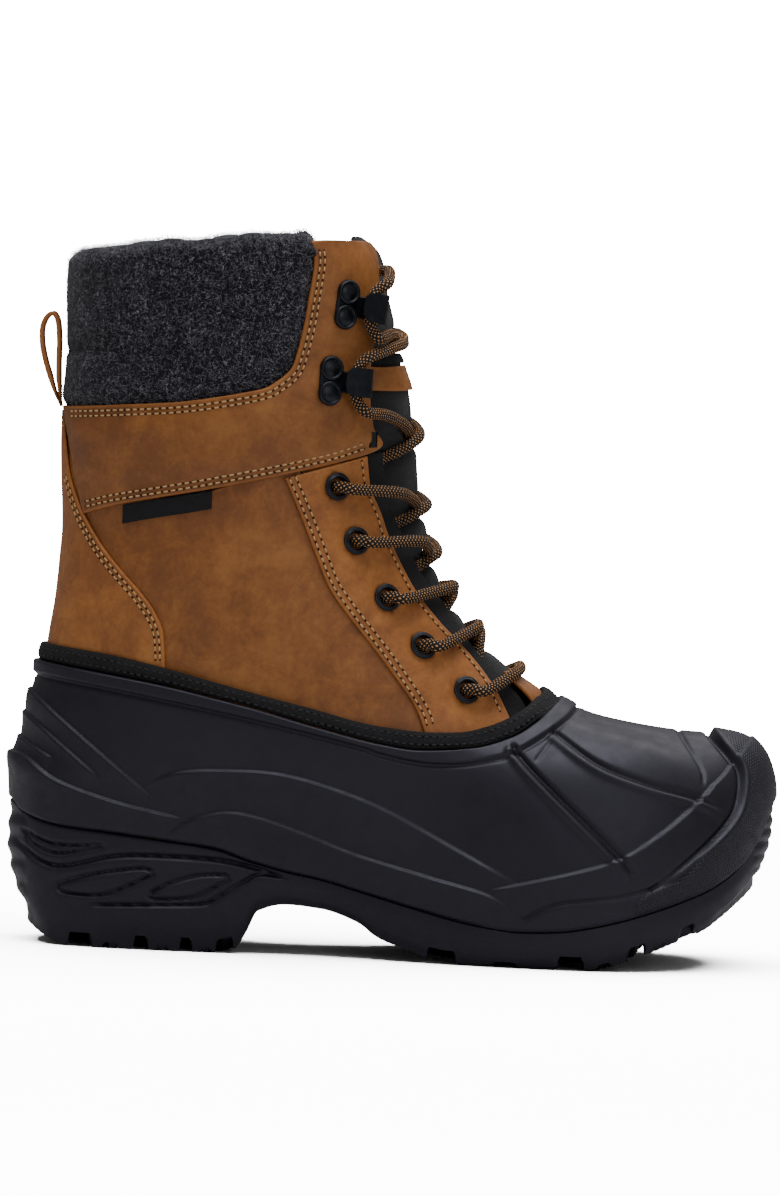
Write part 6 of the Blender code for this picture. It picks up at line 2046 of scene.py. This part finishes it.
def dark_thread_look():
    look = Look("black_thread", 0.6, specular=0.35)
    look.colour(look.mix(look.noise(900.0), (0.010, 0.010, 0.012), (0.022, 0.022, 0.026)))
    look.bump((look.noise(1800.0), 0.05, 0.5))
    return look.material


def ribbon_look(name="black_ribbon", tone=1.0):
    look = Look(name, 0.72, specular=0.3)
    across = look.waves((1100.0, 0.0, 0.0), "X")
    along = look.waves((0.0, 640.0, 0.0), "Y")
    weave = look.math("MULTIPLY", across, along)
    dark = tuple(v * tone for v in (0.006, 0.006, 0.0075))
    light = tuple(v * tone for v in (0.019, 0.019, 0.023))
    look.colour(look.mix(weave, dark, light))
    look.bump((weave, 0.22, 0.8), (look.noise(700.0), 0.06, 0.4))
    return look.material


def metal_look():
    look = Look("black_painted_metal_worn", 0.3, 0.75, 0.5)
    wear = look.noise(300.0, 5.0)
    look.colour(look.mix(wear, (0.012, 0.013, 0.017), (0.030, 0.032, 0.040)))
    look.roughness(look.remap(wear, 0.3, 0.7, 0.24, 0.38))
    look.bump((look.noise(900.0, 2.0), 0.02, 0.3))
    return look.material


def wool_look():
    look = Look("charcoal_wool_knit", 0.95, specular=0.15)
    look.shader.inputs["Sheen Weight"].default_value = 0.12
    look.shader.inputs["Sheen Roughness"].default_value = 0.5
    fibre = look.noise((430.0, 430.0, 1000.0), 3.0, 0.6, 2.2)
    cross = look.noise((950.0, 950.0, 380.0), 3.0, 0.6, 2.0)
    cloud = look.noise(110.0, 4.0, 0.6)
    share = look.math("ADD", look.math("MULTIPLY", fibre, 0.5), look.math("MULTIPLY", cross, 0.43))
    share = look.math("ADD", share, look.math("MULTIPLY", cloud, 0.07))
    look.colour(look.ramp(look.remap(share, 0.42, 0.60), [
        (0.0, (0.003, 0.003, 0.004)), (0.42, (0.007, 0.0068, 0.010)),
        (0.66, (0.026, 0.025, 0.032)), (0.84, (0.085, 0.083, 0.098)),
        (1.0, (0.21, 0.205, 0.235))]))
    look.bump((look.noise(240.0, 5.0, 0.7), 0.6, 0.5), (fibre, 0.3, 0.7), (cross, 0.2, 0.6))
    return look.material


def fibre_look():
    look = Look("wool_loose_fibre", 0.9, specular=0.2)
    look.colour(look.mix(look.noise(300.0), (0.07, 0.069, 0.08), (0.34, 0.335, 0.37)))
    look.bump((look.noise(900.0), 0.05, 0.4))
    return look.material


def felt_look():
    look = Look("grey_felt_fibres", 0.95, specular=0.15)
    fibre = look.noise(900.0, 5.0, 0.75, 1.5)
    look.colour(look.ramp(fibre, [(0.3, (0.055, 0.055, 0.058)), (0.6, (0.14, 0.14, 0.145)),
                                  (0.8, (0.26, 0.26, 0.265))]))
    look.bump((fibre, 0.35, 0.7))
    return look.material


def mesh_look():
    look = Look("black_woven_nylon_ballistic", 0.62, specular=0.35)
    look.shader.inputs["Sheen Weight"].default_value = 0.1
    a = look.waves((430.0, 0.0, 0.0), "X")
    b = look.waves((0.0, 430.0, 0.0), "Y")
    fine = look.waves((1700.0, 1700.0, 0.0), "DIAGONAL")
    weave = look.math("ABSOLUTE", look.math("SUBTRACT", a, b))
    look.colour(look.mix(weave, (0.007, 0.007, 0.009), (0.026, 0.026, 0.031)))
    look.bump((weave, 0.4, 0.8), (fine, 0.08, 0.5))
    return look.material


def lace_look():
    """Round braid: two families of slanting strands, black with a tan fleck."""
    look = Look("lace_braid_flecked", 0.75, specular=0.3)
    flat = look.node("ShaderNodeUVMap", uv_map="flat")
    parts = look.node("ShaderNodeSeparateXYZ")
    look.link(flat.outputs["UV"], parts.inputs["Vector"])
    turn = look.math("MULTIPLY", parts.outputs["X"], STRANDS)
    along = look.math("MULTIPLY", parts.outputs["Y"], 1.0 / (STRAND_PITCH * MM))
    one = look.math("ADD", turn, along)
    two = look.math("SUBTRACT", turn, along)
    wave_a = look.math("ABSOLUTE", look.math("SINE", look.math("MULTIPLY", one, math.pi)))
    wave_b = look.math("ABSOLUTE", look.math("SINE", look.math("MULTIPLY", two, math.pi)))
    height = look.math("MULTIPLY", wave_a, wave_b)
    share = look.remap(height, 0.70, 0.84)
    tan = look.mix(look.noise(500.0), (0.62, 0.275, 0.090), (0.80, 0.41, 0.16))
    black = look.mix(look.noise(700.0), (0.006, 0.006, 0.007), (0.018, 0.017, 0.018))
    look.colour(look.mix(share, black, tan))
    look.bump((height, 0.45, 0.9), (look.noise(2200.0), 0.05, 0.4))
    return look.material


def plastic_tip_look():
    look = Look("lace_tip_plastic", 0.28, specular=0.5)
    look.colour(look.mix(look.noise(300.0), (0.012, 0.012, 0.013), (0.02, 0.02, 0.021)))
    look.bump((look.noise(700.0), 0.02, 0.3))
    return look.material


def foam_look():
    look = Look("footbed_foam_cloth", 0.9, specular=0.2)
    fibre = look.noise(700.0, 4.0, 0.7)
    look.colour(look.mix(fibre, (0.045, 0.045, 0.048), (0.14, 0.14, 0.145)))
    look.bump((fibre, 0.2, 0.6))
    return look.material


def board_look():
    look = Look("fibre_board_pressed", 0.85, specular=0.2)
    fibre = look.noise((300.0, 900.0, 300.0), 5.0, 0.7)
    look.colour(look.mix(fibre, (0.30, 0.22, 0.13), (0.48, 0.38, 0.26)))
    look.bump((fibre, 0.15, 0.5))
    return look.material


# ---------------------------------------------------------------- stage, light, camera

FLOOR_LIGHT = 900.0
FLOOR_FAR = 24.0
WORLD_LIGHT = 0.23
WORLD_SEEN = 24.0
LIGHT_TOP = 19.5
LIGHT_FRONT = 4.2
LIGHT_BACK = 8.0
CAMERA_RISE = 2.6          # degrees
CAMERA_ROLL = 2.3
CAMERA_AWAY = 3.2          # metres
CAMERA_AIM = (-0.0041, -0.045, 0.1478)
CAMERA_SPAN = 0.4856       # long side of the view at the aim point
SENSOR = 36.0


def build_stage():
    """Pale floor that the camera sees bright, with the boot's soft shadow on it."""
    look = Look("pale_floor", 1.0, specular=0.0)
    look.colour(look.mix(look.noise(3.0), (0.85, 0.85, 0.85), (0.87, 0.87, 0.87)))
    reach = look.node("ShaderNodeVectorMath", operation="LENGTH")
    look.link(look.coords.outputs["Object"], reach.inputs[0])
    far = look.remap(reach.outputs["Value"], 0.30, 2.0, 0.0, 1.0)
    far = look.math("MULTIPLY", look.math("MULTIPLY", far, far), FLOOR_FAR)
    look.shader.inputs["Emission Color"].default_value = (1.0, 1.0, 1.0, 1.0)
    path = look.node("ShaderNodeLightPath")
    seen = path.outputs["Is Camera Ray"]
    look.link(look.math("MULTIPLY", far, seen), look.shader.inputs["Emission Strength"])
    dim = look.node("ShaderNodeBsdfDiffuse")
    dim.inputs["Color"].default_value = (0.05, 0.05, 0.05, 1.0)
    mix = look.node("ShaderNodeMixShader")
    look.link(seen, mix.inputs["Fac"])
    look.link(dim.outputs["BSDF"], mix.inputs[1])
    look.link(look.shader.outputs["BSDF"], mix.inputs[2])
    look.link(mix.outputs["Shader"], look.tree.nodes["Material Output"].inputs["Surface"])
    mesh = bmesh.new()
    bmesh.ops.create_circle(mesh, cap_ends=True, segments=96, radius=60.0)
    data = bpy.data.meshes.new("floor")
    mesh.to_mesh(data)
    mesh.free()
    floor = bpy.data.objects.new("floor", data)
    bpy.context.scene.collection.objects.link(floor)
    floor.location.z = START_LOW.z - 0.0004
    data.materials.append(look.material)
    only = bpy.data.collections.new("floor_only")
    only.objects.link(floor)
    lamp = soft_box("floor_softbox", (0.0, 0.1, 2.0), (0.0, 0.0, 0.0), 2.6, 2.6, FLOOR_LIGHT)
    lamp.light_linking.receiver_collection = only


def soft_box(name, place, target, width, height, power):
    """Rectangular lamp aimed at a target."""
    data = bpy.data.lights.new(name, "AREA")
    data.shape = "RECTANGLE"
    data.size = width
    data.size_y = height
    data.energy = power
    lamp = bpy.data.objects.new(name, data)
    bpy.context.scene.collection.objects.link(lamp)
    lamp.location = place
    way = Vector(target) - Vector(place)
    lamp.rotation_euler = way.to_track_quat("-Z", "Y").to_euler()
    return lamp


def build_lights():
    """Dim world that the camera sees bright, and three soft boxes."""
    world = bpy.data.worlds.new("studio")
    bpy.context.scene.world = world
    world.use_nodes = True
    tree = world.node_tree
    back = tree.nodes["Background"]
    back.inputs["Color"].default_value = (1.0, 1.0, 1.0, 1.0)
    back.inputs["Strength"].default_value = WORLD_LIGHT
    bright = tree.nodes.new("ShaderNodeBackground")
    bright.inputs["Color"].default_value = (1.0, 1.0, 1.0, 1.0)
    bright.inputs["Strength"].default_value = WORLD_SEEN
    path = tree.nodes.new("ShaderNodeLightPath")
    mix = tree.nodes.new("ShaderNodeMixShader")
    tree.links.new(path.outputs["Is Camera Ray"], mix.inputs["Fac"])
    tree.links.new(back.outputs["Background"], mix.inputs[1])
    tree.links.new(bright.outputs["Background"], mix.inputs[2])
    tree.links.new(mix.outputs["Shader"], tree.nodes["World Output"].inputs["Surface"])
    soft_box("top_softbox", (0.05, -0.25, 1.5), (0.0, 0.0, 0.1), 1.3, 1.0, LIGHT_TOP)
    soft_box("front_softbox", (0.7, -1.8, 0.9), (0.0, 0.0, 0.14), 1.0, 1.0, LIGHT_FRONT)
    soft_box("back_softbox", (0.45, 0.95, 1.45), (0.05, 0.0, 0.12), 1.4, 1.1, LIGHT_BACK)


def build_camera():
    """Long lens from the lateral side, a little raised and rolled."""
    roll = math.radians(CAMERA_ROLL)
    rise = math.radians(CAMERA_RISE)
    right = Vector((math.cos(roll), 0.0, math.sin(roll)))
    back = Vector((-math.sin(roll) * math.sin(rise), -math.cos(rise),
                   math.cos(roll) * math.sin(rise)))
    up = back.cross(right)
    data = bpy.data.cameras.new("camera")
    data.sensor_fit = "AUTO"
    data.sensor_width = SENSOR
    data.lens = SENSOR * CAMERA_AWAY / CAMERA_SPAN
    data.clip_start = 0.05
    data.clip_end = 200.0
    camera = bpy.data.objects.new("camera", data)
    bpy.context.scene.collection.objects.link(camera)
    camera.rotation_mode = "QUATERNION"
    matrix = Matrix((right, up, back)).transposed()
    camera.rotation_quaternion = matrix.to_quaternion()
    camera.location = Vector(CAMERA_AIM) + back * CAMERA_AWAY
    bpy.context.scene.camera = camera


# ---------------------------------------------------------------- assembly

def main():
    """Every piece, then the stage, the lights and the camera."""
    rubber = rubber_look()
    leather = leather_look()
    # the same tan leather in a lighter and a darker copy: painted light on the heel counter and the
    # eyestays, painted shade on the cuffs
    painted_light_leather = leather_look("tan_leather_painted_light", 1.27)
    painted_shade_leather = leather_look("tan_leather_painted_shade", 0.97)
    ribbon = ribbon_look()
    metal = metal_look()
    thread = thread_look()
    hole_shade = hole_shade_look()
    dark_thread = dark_thread_look()
    dark_hole_painted_shade = hole_shade_look("dark_hole_painted_shade", (0.003, 0.003, 0.003))
    wool = wool_look()
    felt = felt_look()
    weave = mesh_look()

    settle(build_shell(rubber), "boot", "black_rubber", "rubber_shell")
    settle(build_outsole(rubber), "boot", "black_rubber", "outsole")
    binding, u, z = build_binding(ribbon)
    settle(binding, "boot", "black_webbing", "shell_binding")
    settle(stitch_binding(u, z, dark_thread, dark_hole_painted_shade), "boot", None)
    settle(build_counter(painted_light_leather), "boot", "tan_leather", "heel_counter")
    for side, word in ((-1, "lateral"), (1, "medial")):
        settle(build_quarter(side, "quarter_leather_" + word, leather), "boot", "tan_leather",
               "quarter_" + word)
        settle(build_eyestay(side, "eyestay_leather_" + word, painted_light_leather), "boot", "tan_leather",
               "eyestay_" + word)
        settle(build_strip(side, "edge_ribbon_" + word, ribbon), "boot", "black_webbing",
               "edge_strip_" + word)
        settle(build_cuff(side, "cuff_leather_" + word, painted_shade_leather), "boot", "tan_leather",
               "cuff_" + word)
        settle(stitch_leather(side, word, thread, hole_shade), "boot", None)
        settle(build_bartack(side, word, dark_thread, dark_hole_painted_shade), "boot", None)
        for number, (ex, ez) in enumerate(EYELETS):
            node = "eyelet_%s_%d" % (word, number + 1)
            settle(build_eyelet(node + "_rolled", metal, ex, ez, side), "boot", "black_metal",
                   node)
        for number, rivets in enumerate(HOOK_BASES):
            place = ("lower", "upper")[number]
            node = "lace_hook_%s_%s" % (word, place)
            base = "rivet_%s_%s" % (word, place)
            made = build_hook(node, base, metal, rivets, side)
            for piece, stands_for in zip(made, (node, base + "_upper", base + "_lower")):
                settle(piece, "boot", "black_metal", stands_for)
    collar = build_collar(wool)
    settle(collar, "boot", "charcoal_wool", "wool_collar")
    settle(build_fuzz(collar, fibre_look()), "boot", "charcoal_wool")
    settle(build_shaft_lining(felt), "boot", "grey_felt", "shaft_lining")
    settle(build_foot_lining(felt), "boot", "grey_felt", "foot_lining")
    settle(build_bed("insole_board_pressed", board_look(), 9.5, 4.3, 2.2, 0.0), "boot",
           "fibre_board", "insole_board")
    settle(build_bed("footbed_moulded", foam_look(), 14.4, 11.7, 4.5, 1.4), "footbed",
           "footbed_foam", "footbed")
    tongue = settle(build_tongue(weave), "tongue", "black_mesh", "tongue")
    settle(build_on_tongue("tongue_patch_leather", leather, 231.5, 241.5, 25.0, 1.2), "tongue",
           "tan_leather", "tongue_patch")
    settle(build_on_tongue("tongue_tape_woven", ribbon, 242.6, 246.8, 25.5, 1.0), "tongue",
           "black_webbing", "tongue_tape")
    settle(build_throat_tab(leather), "boot", "tan_leather", "throat_tab")
    settle(build_pull_loop(leather), "pull_loop", "tan_leather", "pull_loop")
    settle(build_side_label(ribbon), "boot", "black_webbing", "side_label")
    lace, tips, path, size = build_lace(lace_look(), plastic_tip_look())
    settle(lace, "boot", "lace_braid", "lace")
    settle(tips[0], "boot", "lace_tip", "aglet_a")
    settle(tips[1], "boot", "lace_tip", "aglet_b")
    build_stage()
    build_lights()
    build_camera()


main()
